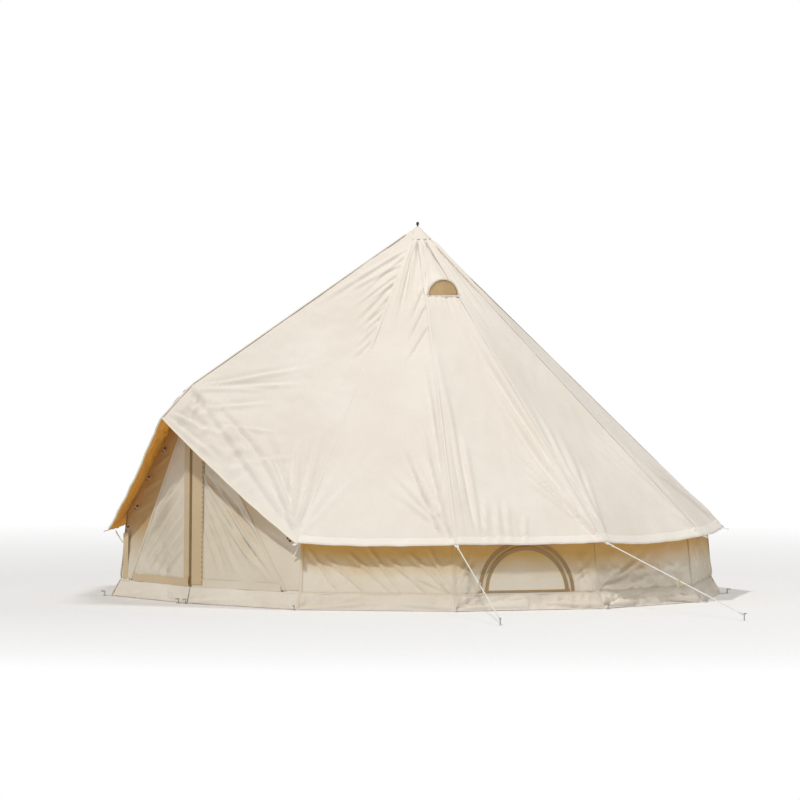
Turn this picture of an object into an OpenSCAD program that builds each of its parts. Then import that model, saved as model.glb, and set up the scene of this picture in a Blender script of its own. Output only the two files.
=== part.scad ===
// Canvas bell tent with an A-frame doorway, pitched on level ground.
// Millimetres, +Z up. The door faces -Y. The origin is on the ground under the centre pole.
// Azimuth runs from -Y towards +X, and the canvas has a corner every 30 degrees.

/* [Canopy] */
// Height of the canvas peak above the ground
peak_h = 2455; // [2425:5:2485]
// Distance from the centre to an eave corner
eave_r = 2060; // [2040:5:2090]
// Height of the eave's lower edge
eave_h = 445; // [440:1:450]
// Thickness of every canvas panel
canvas_t = 6; // [4:1:7]
// Radius of the hole that the canvas leaves round the pole top
crown_r = 60; // [50:5:70]

/* [Walls] */
// Distance from the centre to a wall corner at the ground
base_r = 2040; // [2030:5:2050]
// Distance from the centre to a wall corner at the top of the bottom band
band_r = 1980; // [1970:5:1990]
// Height of the bottom band
band_h = 110; // [100:2:112]
// Distance from the centre to a wall corner under the eave
wall_r = 1940; // [1930:5:1950]
// Height of the wall's top edge
wall_h = 545; // [525:5:545]

/* [Doorway] */
// Distance from the centre to the top of the door frame
gable_d = 1870; // [1865:1:1875]
// Height of the canvas over the top of the door frame
gable_h = 1450; // [1440:5:1460]
// How far the hood's tip stands in front of the door frame
hood_reach = 250; // [220:10:260]
// How far the hood's tip hangs below the top of the door frame
hood_drop = 212; // [190:2:220]
// Distance from the centre to the zip at the top of the bottom band
zip_d = 1880; // [1878:1:1885]
// Distance from the centre to the zip line at the ground
sill_d = 1906; // [1900:1:1912]
// Height of the zip's upper end
zip_h = 1285; // [1205:10:1295]
// Half width of the opening at the top of the bottom band
leaf_foot_x = 850; // [800:10:860]
// Half width of the opening at the zip's upper end
leaf_head_x = 40; // [35:5:60]
// Width of the flap that covers the zip
storm_w = 105; // [80:5:120]

/* [Windows] */
// Azimuth of the window and of the vent on the right side
window_az = 75; // [74.5:0.5:75.5]
// Radius of the half-round window flap
flap_r = 318; // [310:1:319]
// Radius of the half-round net under the flap
net_r = 275; // [255:5:280]

/* [Vents] */
// Radius of the half-round vent under the peak
vent_r = 106; // [80:1:108]
// Height of the vent's lower edge
vent_h = 2010; // [2000:2:2016]

/* [Poles] */
// Outer radius of the centre pole
pole_r = 16; // [14:1:19]
// Outer radius of the door frame's tubes
leg_r = 12.5; // [11:0.5:13]
// Wall thickness of every tube
tube_t = 1.5; // [1:0.25:2]

/* [Guy lines] */
// Radius of a guy rope
rope_r = 4; // [3:0.25:4.5]
// Radius of a steel peg
peg_r = 4; // [3:0.5:5]

/* [Hidden] */

$fn = 48;
step = 30;
seam = 0.012;
gap = 0.5;
play = 2;
leaf_gap = 4;
leaf_clear = 6;
sheet_t = 3;

// Slopes of the canvas: drop per millimetre outward, at a corner, along the front ridge,
// and at the middle of a side
corner_slope = (peak_h - eave_h) / eave_r;
ridge_slope = (peak_h - gable_h) / gable_d;
side_slope = corner_slope / cos(step / 2);
roof_angle = atan(corner_slope);
side_angle = atan(side_slope);
wall_lean = atan((band_r - wall_r) * cos(step / 2) / (wall_h - band_h));

// The door's halves fold back a little on each side of the zip
door_fold = (zip_d - band_r * cos(step)) / (band_r * sin(step));
door_lean = (zip_d - gable_d) / (gable_h - band_h);

// Centre line of the door frame's right leg
frame_top = [0, -gable_d + 30, gable_h - 42];
frame_foot = [905, -1688, sheet_t + gap];
joiner_l = 120;
leg_start = 30;
leg_spigot_l = 60;

// Guy ropes: from the tab on an eave corner to the neck of a peg, with the runner between
rope_060 = [[1820, -1050, 429], [3200, -1750, 36]];
rope_090 = [[2100, 0, 429], [3650, -80, 36]];
runner_part = 0.52;
rope_rings = 24;

canvas = [0.91, 0.88, 0.84];
canvas_light = [0.96, 0.93, 0.89];
canvas_tan = [0.80, 0.70, 0.53];
webbing = [0.93, 0.92, 0.88];
net = [0.76, 0.65, 0.49];
zip_brown = [0.47, 0.31, 0.12];
steel = [0.72, 0.73, 0.74];
dark = [0.15, 0.14, 0.13];

function polar(az, r, z) = [r * sin(az), -r * cos(az), z];
function mix3(a, b, t) = a + (b - a) * t;
function unit(v) = v / norm(v);
// A point on the door's outer face, moved out of it by lift
function door(x, z, lift = 0) =
  [x, -zip_d + abs(x) * door_fold + (z - band_h) * door_lean - lift, z];
function mirror_x(points) = [for (i = [len(points) - 1 : -1 : 0]) [-points[i][0], points[i][1], points[i][2]]];

// A sheet between two outlines; outer runs counter-clockwise seen from outside
module skin(outer, inner) {
  n = len(outer);
  fan_out = [for (i = [1 : n - 2]) [0, i + 1, i]];
  fan_in = [for (i = [1 : n - 2]) [n, n + i, n + i + 1]];
  rim_a = [for (i = [0 : n - 1]) [i, (i + 1) % n, n + (i + 1) % n]];
  rim_b = [for (i = [0 : n - 1]) [i, n + (i + 1) % n, n + i]];
  polyhedron(points = concat(outer, inner), faces = concat(fan_out, fan_in, rim_a, rim_b));
}

// A flat side of the tent between two corners, from [r, z] low to [r, z] high
module side_panel(az, low, high, inward) {
  a = az - step / 2 + seam;
  b = az + step / 2 - seam;
  skin(
    [polar(a, low[0], low[1]), polar(b, low[0], low[1]), polar(b, high[0], high[1]), polar(a, high[0], high[1])],
    [polar(a, low[0] - inward[0], low[1] - inward[1]), polar(b, low[0] - inward[0], low[1] - inward[1]),
     polar(b, high[0] - inward[0], high[1] - inward[1]), polar(a, high[0] - inward[0], high[1] - inward[1])]
  );
}

// Frame of a wall's outer face: x along it, y up it, z out of it, from the band's top edge
module on_wall(az) {
  rotate([0, 0, az])
    translate([0, -band_r * cos(step / 2), band_h])
      rotate([90 - wall_lean, 0, 0])
        children();
}

// Frame of an upright vent face: x along it, y up, z out of it, from the vent's lower edge
module on_vent(az) {
  rotate([0, 0, az])
    translate([0, -(peak_h - vent_h) / side_slope - 8, vent_h])
      rotate([90, 0, 0])
        children();
}

module half_disc(r, from, to) {
  intersection() {
    translate([0, 0, from]) cylinder(h = to - from, r = r, $fn = 96);
    translate([-r, 0, from - 1]) cube([2 * r, r + 1, to - from + 2]);
  }
}

// A straight bar from p to q
module bar(p, q, r) {
  d = q - p;
  translate(p)
    rotate([0, acos(d[2] / norm(d)), atan2(d[1], d[0])])
      cylinder(h = norm(d), r = r);
}

module roof_gore(az) {
  color(canvas)
    side_panel(az, [eave_r, eave_h], [crown_r, peak_h - crown_r * corner_slope],
      canvas_t * [sin(roof_angle), cos(roof_angle)]);
}

// A gore with the hole that its vent hood covers
module vented_gore(az) {
  color(canvas)
    difference() {
      side_panel(az, [eave_r, eave_h], [crown_r, peak_h - crown_r * corner_slope],
        canvas_t * [sin(roof_angle), cos(roof_angle)]);
      on_vent(az)
        translate([-vent_r * 0.6, vent_r * 0.35, -vent_r * 1.6])
          cube([vent_r * 1.2, vent_r * 0.5, vent_r * 2]);
    }
}

front_outline = [
  [gap / 2, -gable_d, gable_h],
  polar(step - seam, eave_r, eave_h),
  polar(step - seam, crown_r, peak_h - crown_r * corner_slope),
  [gap / 2, -crown_r, peak_h - crown_r * ridge_slope]
];
front_inline = [
  [gap / 2, -gable_d + 5, gable_h - 9],
  polar(step - seam, eave_r - canvas_t * sin(roof_angle), eave_h - canvas_t * cos(roof_angle)),
  polar(step - seam, crown_r - canvas_t * sin(roof_angle),
    peak_h - crown_r * corner_slope - canvas_t * cos(roof_angle)),
  [gap / 2, -crown_r + 3, peak_h - crown_r * ridge_slope - 8]
];
module roof_front_right() {
  color(canvas) skin(front_outline, front_inline);
}
module roof_front_left() {
  color(canvas) skin(mirror_x(front_outline), mirror_x(front_inline));
}

hood_top = [gap / 2, -gable_d - gap, gable_h - gap];
hood_tip = [gap / 2, -gable_d - hood_reach, gable_h - hood_drop];
hood_foot = polar(step, eave_r, eave_h) + [0, -1, -1];
hood_outline = [hood_top, hood_tip, hood_foot];
hood_inline = [hood_top + [0, 4, -9], hood_tip + [0, 5, -8], hood_foot + [-4, 3, -6]];
module hood_right() {
  color(canvas) skin(hood_outline, hood_inline);
}
module hood_left() {
  color(canvas) skin(mirror_x(hood_outline), mirror_x(hood_inline));
}

// A pyramid with the canvas's own corners, raised by lift
module crown(r, lift) {
  ring = concat(
    [for (i = [1 : 11]) polar(i * step, r, peak_h - r * corner_slope + lift)],
    [[0, -r, peak_h - r * ridge_slope + lift]]
  );
  hull() {
    polyhedron(
      points = concat(ring, [[0, 0, peak_h + lift]]),
      faces = concat([[for (i = [0 : 11]) i]], [for (i = [0 : 11]) [(i + 1) % 12, i, 12]])
    );
  }
}
module peak_cap() {
  color(canvas_light)
    difference() {
      crown(90, 5);
      crown(92, 1);
      translate([0, 0, peak_h - 20]) cylinder(h = 40, r = 6);
    }
}

module wall_panel(az) {
  color(canvas) side_panel(az, [band_r, band_h + gap], [wall_r, wall_h], [canvas_t, 0]);
}
// A wall with the half-round opening of its window
module window_wall(az) {
  color(canvas)
    difference() {
      side_panel(az, [band_r, band_h + gap], [wall_r, wall_h], [canvas_t, 0]);
      on_wall(az) translate([0, 20, 0]) half_disc(net_r, -3 * canvas_t, canvas_t);
    }
}

sill_outline = [
  [play * 2, -sill_d, 0],
  polar(step, base_r, 0) - [1, 0, 0],
  polar(step, band_r, band_h) - [1, 0, 0],
  [play, -zip_d, band_h]
];
sill_inline = [for (p = sill_outline) p + [0, canvas_t, 0]];
module bottom_band() {
  color(canvas_light) {
    for (az = [step * 1.5 : step : 360 - step])
      side_panel(az, [base_r, 0], [band_r, band_h], [canvas_t, 0]);
    skin(sill_outline, sill_inline);
    skin(mirror_x(sill_outline), mirror_x(sill_inline));
  }
}

// The fixed canvas between an opening leaf, the roof and the wall corner
gable_outline = [
  [gap, -gable_d + 5, gable_h - 18],
  door(gap, zip_h + leaf_gap),
  door(leaf_head_x + leaf_gap, zip_h + leaf_gap),
  door(leaf_foot_x + leaf_gap, band_h + gap),
  polar(step, band_r, band_h + gap) - [1, 0, 0],
  polar(step, wall_r, wall_h) - [1, 0, 0]
];
// The edge along the wall corner steps back, clear of the wall panel's own thickness
gable_inline = [
  for (i = [0 : len(gable_outline) - 1]) gable_outline[i] + [i > 3 ? -canvas_t : 0, canvas_t, 0]
];
module gable_right() {
  color(canvas) skin(gable_outline, gable_inline);
}
module gable_left() {
  color(canvas) skin(mirror_x(gable_outline), mirror_x(gable_inline));
}

leaf_z = band_h + leaf_clear;
leaf_side = (leaf_foot_x - leaf_head_x) / (zip_h - band_h);
leaf_outline = [
  door(1, leaf_z), door(leaf_foot_x - leaf_clear * leaf_side, leaf_z), door(leaf_head_x, zip_h), door(1, zip_h)
];
leaf_inline = [for (p = leaf_outline) p + [0, canvas_t, 0]];
module door_leaf_right() {
  color(canvas) skin(leaf_outline, leaf_inline);
}
module door_leaf_left() {
  color(canvas) skin(mirror_x(leaf_outline), mirror_x(leaf_inline));
}

// An upright strip on the outer face of the door's right leaf
function strip(x0, x1, lift, foot) = [
  door(x0, leaf_z + foot, lift), door(x1, leaf_z + foot, lift),
  door(x1, zip_h - 2, lift), door(x0, zip_h - 2, lift)
];
tape_w = 16;
tape_t = 2;
module zip_tape_right() {
  color(zip_brown) skin(strip(1, 1 + tape_w, gap / 2 + tape_t, 2), strip(1, 1 + tape_w, gap / 2, 2));
}
module zip_tape_left() {
  color(zip_brown)
    skin(mirror_x(strip(1, 1 + tape_w, gap / 2 + tape_t, 2)), mirror_x(strip(1, 1 + tape_w, gap / 2, 2)));
}
module storm_flap() {
  flap_outer = [door(20, leaf_z + 4, 4), door(20 + storm_w, leaf_z + 4, 4),
    door(leaf_head_x + 60, zip_h - 130, 4), door(leaf_head_x - 8, zip_h - 12, 4), door(20, zip_h - 12, 4)];
  color(canvas_tan) skin(flap_outer, [for (p = flap_outer) p + [0, 3, 0]]);
}
module zip_slider() {
  color(steel)
    multmatrix([[1, 0, 0, -8.5], [0, 1, door_lean, -zip_d - tape_t - 1], [0, 0, 1, leaf_z], [0, 0, 0, 1]]) {
      translate([-6, -7, 42]) cube([12, 6.5, 22]);
      translate([-2.5, -10, 8]) cube([5, 3.5, 40]);
    }
}

module window_flap(az) {
  color(canvas) on_wall(az) translate([0, 8, 0]) half_disc(flap_r, 4, 8);
}
module window_flap_right() {
  window_flap(window_az);
}
module window_flap_left() {
  window_flap(-window_az);
}
module window_zips() {
  color(zip_brown)
    for (az = [window_az, -window_az])
      on_wall(az)
        translate([0, 8, 0])
          difference() {
            half_disc(flap_r + 20, gap, 3.5);
            translate([0, -1, 0]) half_disc(flap_r + 3, -2, 6);
          }
}
module net_screens() {
  color(net)
    for (az = [window_az, -window_az]) {
      on_wall(az) translate([0, 20.5, 0]) half_disc(net_r - 1, -canvas_t + 1, -2);
      on_vent(az) half_disc(vent_r - 0.5, -6, -3);
    }
}

// A half-cone of canvas from the vent's arch up to the roof
module vent_cone(r, back, rise) {
  hull() {
    half_disc(r, -1, 0);
    translate([0, rise, -back]) cube([4, 4, 4], center = true);
  }
}
module vent_hoods() {
  roof_d = (peak_h - vent_h) / side_slope + 8;
  color(canvas)
    for (az = [window_az, -window_az])
      difference() {
        on_vent(az) vent_cone(vent_r + 8, 240, 240);
        on_vent(az) translate([0, -2, 4]) vent_cone(vent_r, 240, 214);
        on_vent(az) half_disc(vent_r, -8, 4);
        rotate([0, 0, az])
          translate([0, 0, peak_h + gap])
            rotate([side_angle, 0, 0])
              translate([-vent_r * 2, -roof_d * 2, -vent_r * 6])
                cube([vent_r * 4, roof_d * 2, vent_r * 6]);
      }
}

module groundsheet() {
  outline = concat(
    [for (i = [1 : 11]) [(band_r - 25) * sin(i * step), -(band_r - 25) * cos(i * step)]],
    [[0, -zip_d + 20]]
  );
  color([0.42, 0.44, 0.40]) linear_extrude(sheet_t) polygon(outline);
}

pole_joint_h = 1225;
pole_top_h = peak_h - 60;
module tube(r, h) {
  difference() {
    cylinder(h = h, r = r);
    translate([0, 0, -1]) cylinder(h = h + 2, r = r - tube_t);
  }
}
module pole_foot() {
  color(dark)
    difference() {
      translate([0, 0, sheet_t + gap]) cylinder(h = 45, r = pole_r + 5);
      translate([0, 0, sheet_t + 6]) cylinder(h = 50, r = pole_r + 0.3);
    }
}
module pole_lower() {
  color(steel) translate([0, 0, sheet_t + 6.5]) tube(pole_r, pole_joint_h - sheet_t - 6.5);
}
module pole_upper() {
  color(steel) {
    translate([0, 0, pole_joint_h + 0.3]) tube(pole_r, pole_top_h - pole_joint_h - 0.3);
    translate([0, 0, pole_joint_h - 80]) tube(pole_r - tube_t - 0.3, 100);
    translate([0, 0, pole_joint_h + 0.3])
      difference() {
        cylinder(h = 6, r = pole_r - 0.5);
        translate([0, 0, -1]) cylinder(h = 8, r = pole_r - tube_t - 1);
      }
  }
}
module pole_spike() {
  color(dark) {
    translate([0, 0, pole_top_h - 30]) cylinder(h = 30, r = pole_r - tube_t - 0.3);
    translate([0, 0, pole_top_h + 0.3]) cylinder(h = 6, r = pole_r);
    translate([0, 0, pole_top_h - 1]) cylinder(h = 75, r = 5);
    translate([0, 0, peak_h + 7]) cylinder(h = 18, r1 = 11, r2 = 7);
  }
}

// Draws its child for the right leg, and mirrored for the left one
module both_sides() {
  children();
  mirror([1, 0, 0]) children();
}
leg_d = unit(frame_foot - frame_top);
leg_l = norm(frame_foot - frame_top);
function leg(s) = frame_top + leg_d * s;
module frame_legs_upper() {
  color(steel)
    both_sides()
      difference() {
        bar(leg(leg_start), leg(leg_l / 2), leg_r);
        bar(leg(leg_start - 1), leg(leg_l / 2 + 1), leg_r - tube_t);
      }
}
module frame_legs_lower() {
  color(steel)
    both_sides() {
      difference() {
        bar(leg(leg_l / 2 + 0.3), leg(leg_l - 22), leg_r);
        bar(leg(leg_l / 2 - 1), leg(leg_l - 21), leg_r - tube_t);
      }
      bar(leg(leg_l / 2 - leg_spigot_l), leg(leg_l / 2 + 20), leg_r - tube_t - 0.3);
      bar(leg(leg_l / 2 + 0.3), leg(leg_l / 2 + 8), leg_r - 0.5);
    }
}
module frame_joiner() {
  color(dark)
    difference() {
      both_sides() bar(leg(-6), leg(joiner_l), leg_r + 3);
      both_sides() bar(leg(leg_start - gap), leg(joiner_l + 1), leg_r + 0.3);
    }
}
module frame_feet() {
  color(dark)
    both_sides()
      difference() {
        bar(leg(leg_l - 60), leg(leg_l + 20), leg_r + 4);
        bar(leg(leg_l - 61), leg(leg_l - 21.5), leg_r + 0.3);
        translate([800, -1800, -100 + sheet_t + gap]) cube([300, 300, 100]);
      }
}

// Webbing sewn under each eave corner, in line with the pull of a guy rope
tab_angle = 16;
module eave_tabs() {
  color(webbing)
    for (i = [1 : 11])
      rotate([0, 0, i * step])
        translate([0, -eave_r - gap, eave_h - 6])
          rotate([tab_angle, 0, 0])
            translate([-13, -44, -2])
              cube([26, 44, 4]);
}
// A short webbing tie from each front eave corner to the gable
tie_start = polar(step, eave_r - 45, eave_h - 14);
tie_end = door(870, 421, 1);
module corner_ties() {
  tie_back = [tie_end + [0, 0, -12], tie_start + [0, 0, -12], tie_start + [0, 0, 12], tie_end + [0, 0, 12]];
  color(webbing) both_sides() skin([for (p = tie_back) p + [0, -2.5, 0]], tie_back);
}
// Toggles on the gable that hold a rolled leaf: places are [x, z]
toggle_places = [[380, 1000], [600, 800], [760, 600], [890, 455]];
module door_toggles() {
  color([0.30, 0.17, 0.07])
    both_sides()
      for (p = toggle_places)
        bar(door(p[0] - 16, p[1] + 12, 8), door(p[0] + 16, p[1] - 12, 8), 6);
}
module ground_tabs() {
  color(webbing) {
    for (i = [1 : 11])
      rotate([0, 0, i * step]) translate([-14, -base_r - gap - 42, 0]) cube([28, 42, sheet_t]);
    for (side = [-1, 1])
      translate([side * 40 - 14, -sill_d - gap - 36, 0]) cube([28, 36, sheet_t]);
  }
}
// The part of a peg that stands above the ground, its hook away from the tent
module peg(h) {
  cylinder(h = h, r = peg_r);
  translate([0, peg_r, h - peg_r]) rotate([90, 0, 0]) cylinder(h = 28, r = peg_r);
}
module ground_pegs() {
  color(steel) {
    for (i = [1 : 11])
      rotate([0, 0, i * step]) translate([0, -base_r - 43 - gap - peg_r, 0]) peg(34);
    for (side = [-1, 1])
      translate([side * 40, -sill_d - 37 - gap - peg_r, 0]) peg(34);
  }
}

// A rope as one swept tube with eight sides
module rope(ends) {
  d = unit(ends[1] - ends[0]);
  side = unit(cross(d, [0, 0, 1]));
  up = cross(side, d);
  sides = 8;
  rings = [
    for (k = [0 : rope_rings])
      for (j = [0 : sides - 1])
        mix3(ends[0], ends[1], k / rope_rings)
          + rope_r * (cos(j * 360 / sides) * side + sin(j * 360 / sides) * up)
  ];
  walls = [
    for (k = [0 : rope_rings - 1])
      for (j = [0 : sides - 1])
        [k * sides + j, (k + 1) * sides + j, (k + 1) * sides + (j + 1) % sides, k * sides + (j + 1) % sides]
  ];
  caps = [
    [for (j = [0 : sides - 1]) j],
    [for (j = [sides - 1 : -1 : 0]) rope_rings * sides + j]
  ];
  color(webbing) polyhedron(points = rings, faces = concat(walls, caps));
}
// A drilled bar that slides along its rope
module runner(ends) {
  d = ends[1] - ends[0];
  color([0.86, 0.84, 0.78])
    translate(mix3(ends[0], ends[1], runner_part))
      rotate([0, 0, atan2(d[1], d[0])])
        rotate([0, acos(d[2] / norm(d)), 0])
          difference() {
            translate([-13, -9, -5]) cube([56, 18, 10]);
            translate([0, 0, -6]) cylinder(h = 12, r = rope_r + 1);
          }
}
module guy_peg(ends) {
  d = ends[1] - ends[0];
  color(steel)
    translate([ends[1][0], ends[1][1], 0])
      rotate([0, 0, atan2(d[1], d[0]) + 90])
        peg(50);
}

roof_gore(45);  // roof_gore_045
vented_gore(75);  // roof_gore_075
roof_gore(105);  // roof_gore_105
roof_gore(135);  // roof_gore_135
roof_gore(165);  // roof_gore_165
roof_gore(195);  // roof_gore_195
roof_gore(225);  // roof_gore_225
roof_gore(255);  // roof_gore_255
vented_gore(285);  // roof_gore_285
roof_gore(315);  // roof_gore_315
roof_front_right();
roof_front_left();
hood_right();
hood_left();
peak_cap();
wall_panel(45);  // wall_panel_045
window_wall(75);  // wall_panel_075
wall_panel(105);  // wall_panel_105
wall_panel(135);  // wall_panel_135
wall_panel(165);  // wall_panel_165
wall_panel(195);  // wall_panel_195
wall_panel(225);  // wall_panel_225
wall_panel(255);  // wall_panel_255
window_wall(285);  // wall_panel_285
wall_panel(315);  // wall_panel_315
bottom_band();
gable_right();
gable_left();
door_leaf_right();
door_leaf_left();
zip_tape_right();
zip_tape_left();
zip_slider();
storm_flap();
window_flap_right();
window_flap_left();
window_zips();
net_screens();
vent_hoods();
groundsheet();
pole_lower();
pole_upper();
pole_foot();
pole_spike();
frame_legs_lower();
frame_legs_upper();
frame_joiner();
frame_feet();
eave_tabs();
corner_ties();
door_toggles();
ground_tabs();
ground_pegs();
rope(rope_060);  // guy_rope_060
rope(rope_090);  // guy_rope_090
runner(rope_060);  // guy_runner_060
runner(rope_090);  // guy_runner_090
guy_peg(rope_060);  // guy_peg_060
guy_peg(rope_090);  // guy_peg_090
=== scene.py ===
"""A canvas bell tent with an A-frame doorway. Metres, +Z up, door towards -Y, origin under the pole."""
import math

import bpy
import numpy as np
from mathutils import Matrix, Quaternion, Vector


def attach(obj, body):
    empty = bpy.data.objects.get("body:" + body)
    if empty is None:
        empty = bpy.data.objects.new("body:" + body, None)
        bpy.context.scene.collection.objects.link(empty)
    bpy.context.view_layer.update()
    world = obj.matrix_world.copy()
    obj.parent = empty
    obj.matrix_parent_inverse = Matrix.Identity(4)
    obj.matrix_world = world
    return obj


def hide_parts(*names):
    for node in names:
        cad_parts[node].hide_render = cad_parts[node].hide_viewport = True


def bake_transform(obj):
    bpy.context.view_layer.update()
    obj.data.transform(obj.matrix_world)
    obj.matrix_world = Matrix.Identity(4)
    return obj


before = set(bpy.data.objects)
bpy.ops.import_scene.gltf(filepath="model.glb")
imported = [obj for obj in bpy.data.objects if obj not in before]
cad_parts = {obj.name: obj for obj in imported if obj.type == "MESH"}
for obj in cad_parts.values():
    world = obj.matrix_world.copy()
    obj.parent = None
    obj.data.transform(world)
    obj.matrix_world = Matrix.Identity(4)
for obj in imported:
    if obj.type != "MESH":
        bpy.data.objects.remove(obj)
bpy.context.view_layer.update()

# ---------------------------------------------------------------- sizes
STEP = 30.0                             # degrees between two corners
PANELS = range(45, 330, 30)             # azimuths of the ten sides that are alike
PEAK_H, CROWN_R = 2.455, 0.06           # canvas peak, and the hole round the pole
EAVE_R, EAVE_H = 2.06, 0.445            # eave corner
WALL_R, WALL_H = 1.94, 0.545            # wall corner under the eave
BAND_R, BAND_H = 1.98, 0.11             # wall corner at the top of the bottom band
BASE_R, BASE_H = 2.04, 0.0008           # wall corner at the ground
GABLE_D, GABLE_H = 1.87, 1.45           # canvas over the top of the door frame
HOOD_REACH, HOOD_DROP = 0.25, 0.212     # tip of the hood, from there
HOOD_V = 0.87                           # where a front panel's ridge reaches the door frame
ZIP_D, ZIP_H = 1.88, 1.285              # zip at the top of the band, and the zip's top end
SILL_D = 1.906                          # door sill at the ground
LEAF_FOOT_X, LEAF_HEAD_X = 0.85, 0.04   # seam beside the frame leg, at the band and at the top
LEAF_Z = 0.116                          # lower edge of the leaves
WINDOW_AZ, FLAP_R, NET_R = 75.0, 0.318, 0.275
VENT_R, VENT_H = 0.106, 2.010
CLOTH, NET = 0.0016, 0.0006             # thickness of one layer
HEM_W = 0.07                            # doubled hem of the canopy
CORNER_SLOPE = (PEAK_H - EAVE_H) / EAVE_R
SIDE_SLOPE = CORNER_SLOPE / math.cos(math.radians(STEP / 2))
DOOR_FOLD = (ZIP_D - BAND_R * math.cos(math.radians(STEP))) / (BAND_R * math.sin(math.radians(STEP)))
DOOR_LEAN = (ZIP_D - GABLE_D) / (GABLE_H - BAND_H)
LEG_SLOPE = (LEAF_FOOT_X - LEAF_HEAD_X) / (ZIP_H - BAND_H)
ROPE_D = 0.008
ROPES = {  # from the tab on an eave corner to the neck of its peg
    "060": ((1.820, -1.050, 0.429), (3.200, -1.750, 0.036)),
    "090": ((2.100, 0.0, 0.429), (3.650, -0.080, 0.036)),
}
SIDES = {"right": 1, "left": -1}
UP = np.array([0.0, 0.0, 1.0])
FRONT = np.array([0.0, -1.0, 0.0])


def unit(v):
    v = np.asarray(v, float)
    return v / np.linalg.norm(v, axis=-1, keepdims=True)


def mix(a, b, t):
    return a + (b - a) * t


def smooth(a, b, x):
    """0 before a, 1 after b, and an even rise between them."""
    t = np.clip((x - a) / (b - a), 0.0, 1.0)
    return t * t * (3 - 2 * t)


def polar(az, r, z):
    """A point at azimuth az in degrees, from -Y towards +X."""
    a = np.radians(az)
    return np.stack(np.broadcast_arrays(r * np.sin(a), -r * np.cos(a), z), axis=-1)


def from_front(az):
    """Degrees between azimuth az and the doorway."""
    return np.abs((az + 180) % 360 - 180)


def straight_side(az):
    """How far out a side is at azimuth az, as a share of its corners' radius."""
    return math.cos(math.radians(STEP / 2)) / np.cos(np.radians(az % STEP - STEP / 2))


def door(x, z, lift=0.0):
    """A point on the outer face of the door, lifted out of it."""
    y = -ZIP_D + np.abs(x) * DOOR_FOLD + (z - BAND_H) * DOOR_LEAN - lift
    return np.stack(np.broadcast_arrays(x, y, z), axis=-1)


def between(t, stops, points):
    """Points on the line through points, which it reaches at the given stops."""
    return np.stack([np.interp(t, stops, [p[i] for p in points]) for i in range(3)], axis=-1)


def edge(points, stops=(0.0, 1.0)):
    """The edge of a patch, as a function of v: a line through points."""
    return lambda v: between(v, stops, points)


def travelled(path):
    """How far along a path each of its points is."""
    return np.concatenate([[0], np.cumsum(np.linalg.norm(np.diff(path, axis=0), axis=1))])


def circle(count, across, up, radius, turns=1):
    """Points round a circle whose axes are across and up."""
    a = np.linspace(0, 2 * math.pi * turns, count)[:, None]
    return radius * (np.cos(a) * across + np.sin(a) * up)


# ---------------------------------------------------------------- camera
def towards(az, el):
    """The unit vector from the centre at an azimuth and an elevation in degrees."""
    a, e = math.radians(az), math.radians(el)
    return Vector((math.sin(a) * math.cos(e), -math.cos(a) * math.cos(e), math.sin(e)))


def add_camera(az=52.7, el=2.8, distance=200.0, lens=1353.6, roll=0.2, side=-0.113, height=1.2948):
    a = math.radians(az)
    back = towards(az, el)
    data = bpy.data.cameras.new("camera")
    data.lens, data.sensor_width = lens, 36.0
    data.clip_start, data.clip_end = 10.0, 400.0
    camera = bpy.data.objects.new("camera", data)
    bpy.context.collection.objects.link(camera)
    camera.location = Vector((math.cos(a) * side, math.sin(a) * side, height)) + back * distance
    camera.rotation_mode = "QUATERNION"
    camera.rotation_quaternion = (-back).to_track_quat("-Z", "Y") @ Quaternion((0, 0, 1), math.radians(roll))
    bpy.context.scene.camera = camera


add_camera()


# ---------------------------------------------------------------- meshes
def add_mesh(name, points, faces, materials, uv=None):
    """points (n, 3); faces of point numbers; uv gives each point's place on the cloth, in metres."""
    mesh = bpy.data.meshes.new(name)
    faces = faces.tolist() if isinstance(faces, np.ndarray) else faces
    mesh.from_pydata(np.asarray(points).reshape(-1, 3).tolist(), [], faces)
    if uv is not None:
        loops = np.empty(len(mesh.loops), dtype=np.int32)
        mesh.loops.foreach_get("vertex_index", loops)
        layer = mesh.uv_layers.new(name="cloth")
        layer.data.foreach_set("uv", np.asarray(uv).reshape(-1, 2)[loops].astype(np.float32).ravel())
        mesh.polygons.foreach_set("use_smooth", np.ones(len(mesh.polygons), dtype=bool))
    for material in materials:
        mesh.materials.append(material)
    mesh.update()
    piece = bpy.data.objects.new(name, mesh)
    bpy.context.collection.objects.link(piece)
    return piece


def cloth_mesh(name, points, faces, materials, uv, thickness=CLOTH):
    """A sheet with its thickness inwards; a second material goes on the inner side.
    The faces are split first, so that the inner side follows the outer one exactly over a steep fold."""
    piece = add_mesh(name, points, faces, materials, uv)
    piece.modifiers.new("split", "TRIANGULATE").quad_method = "SHORTEST_DIAGONAL"
    shell = piece.modifiers.new("thickness", "SOLIDIFY")
    shell.thickness, shell.offset = thickness, -1.0
    shell.material_offset = len(materials) - 1
    shell.use_even_offset = False
    return piece


def place(piece, body, nodes=()):
    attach(piece, body)
    if nodes:
        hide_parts(*nodes)
    return piece


def grid_faces(rows, cols, around=False):
    """Quads of a grid whose points run row by row; around closes each row."""
    r, c = np.meshgrid(np.arange(rows - 1), np.arange(cols if around else cols - 1), indexing="ij")
    a, b = r * cols + c, r * cols + (c + 1) % cols
    return np.stack([a, a + cols, b + cols, b], axis=-1).reshape(-1, 4)


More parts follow.
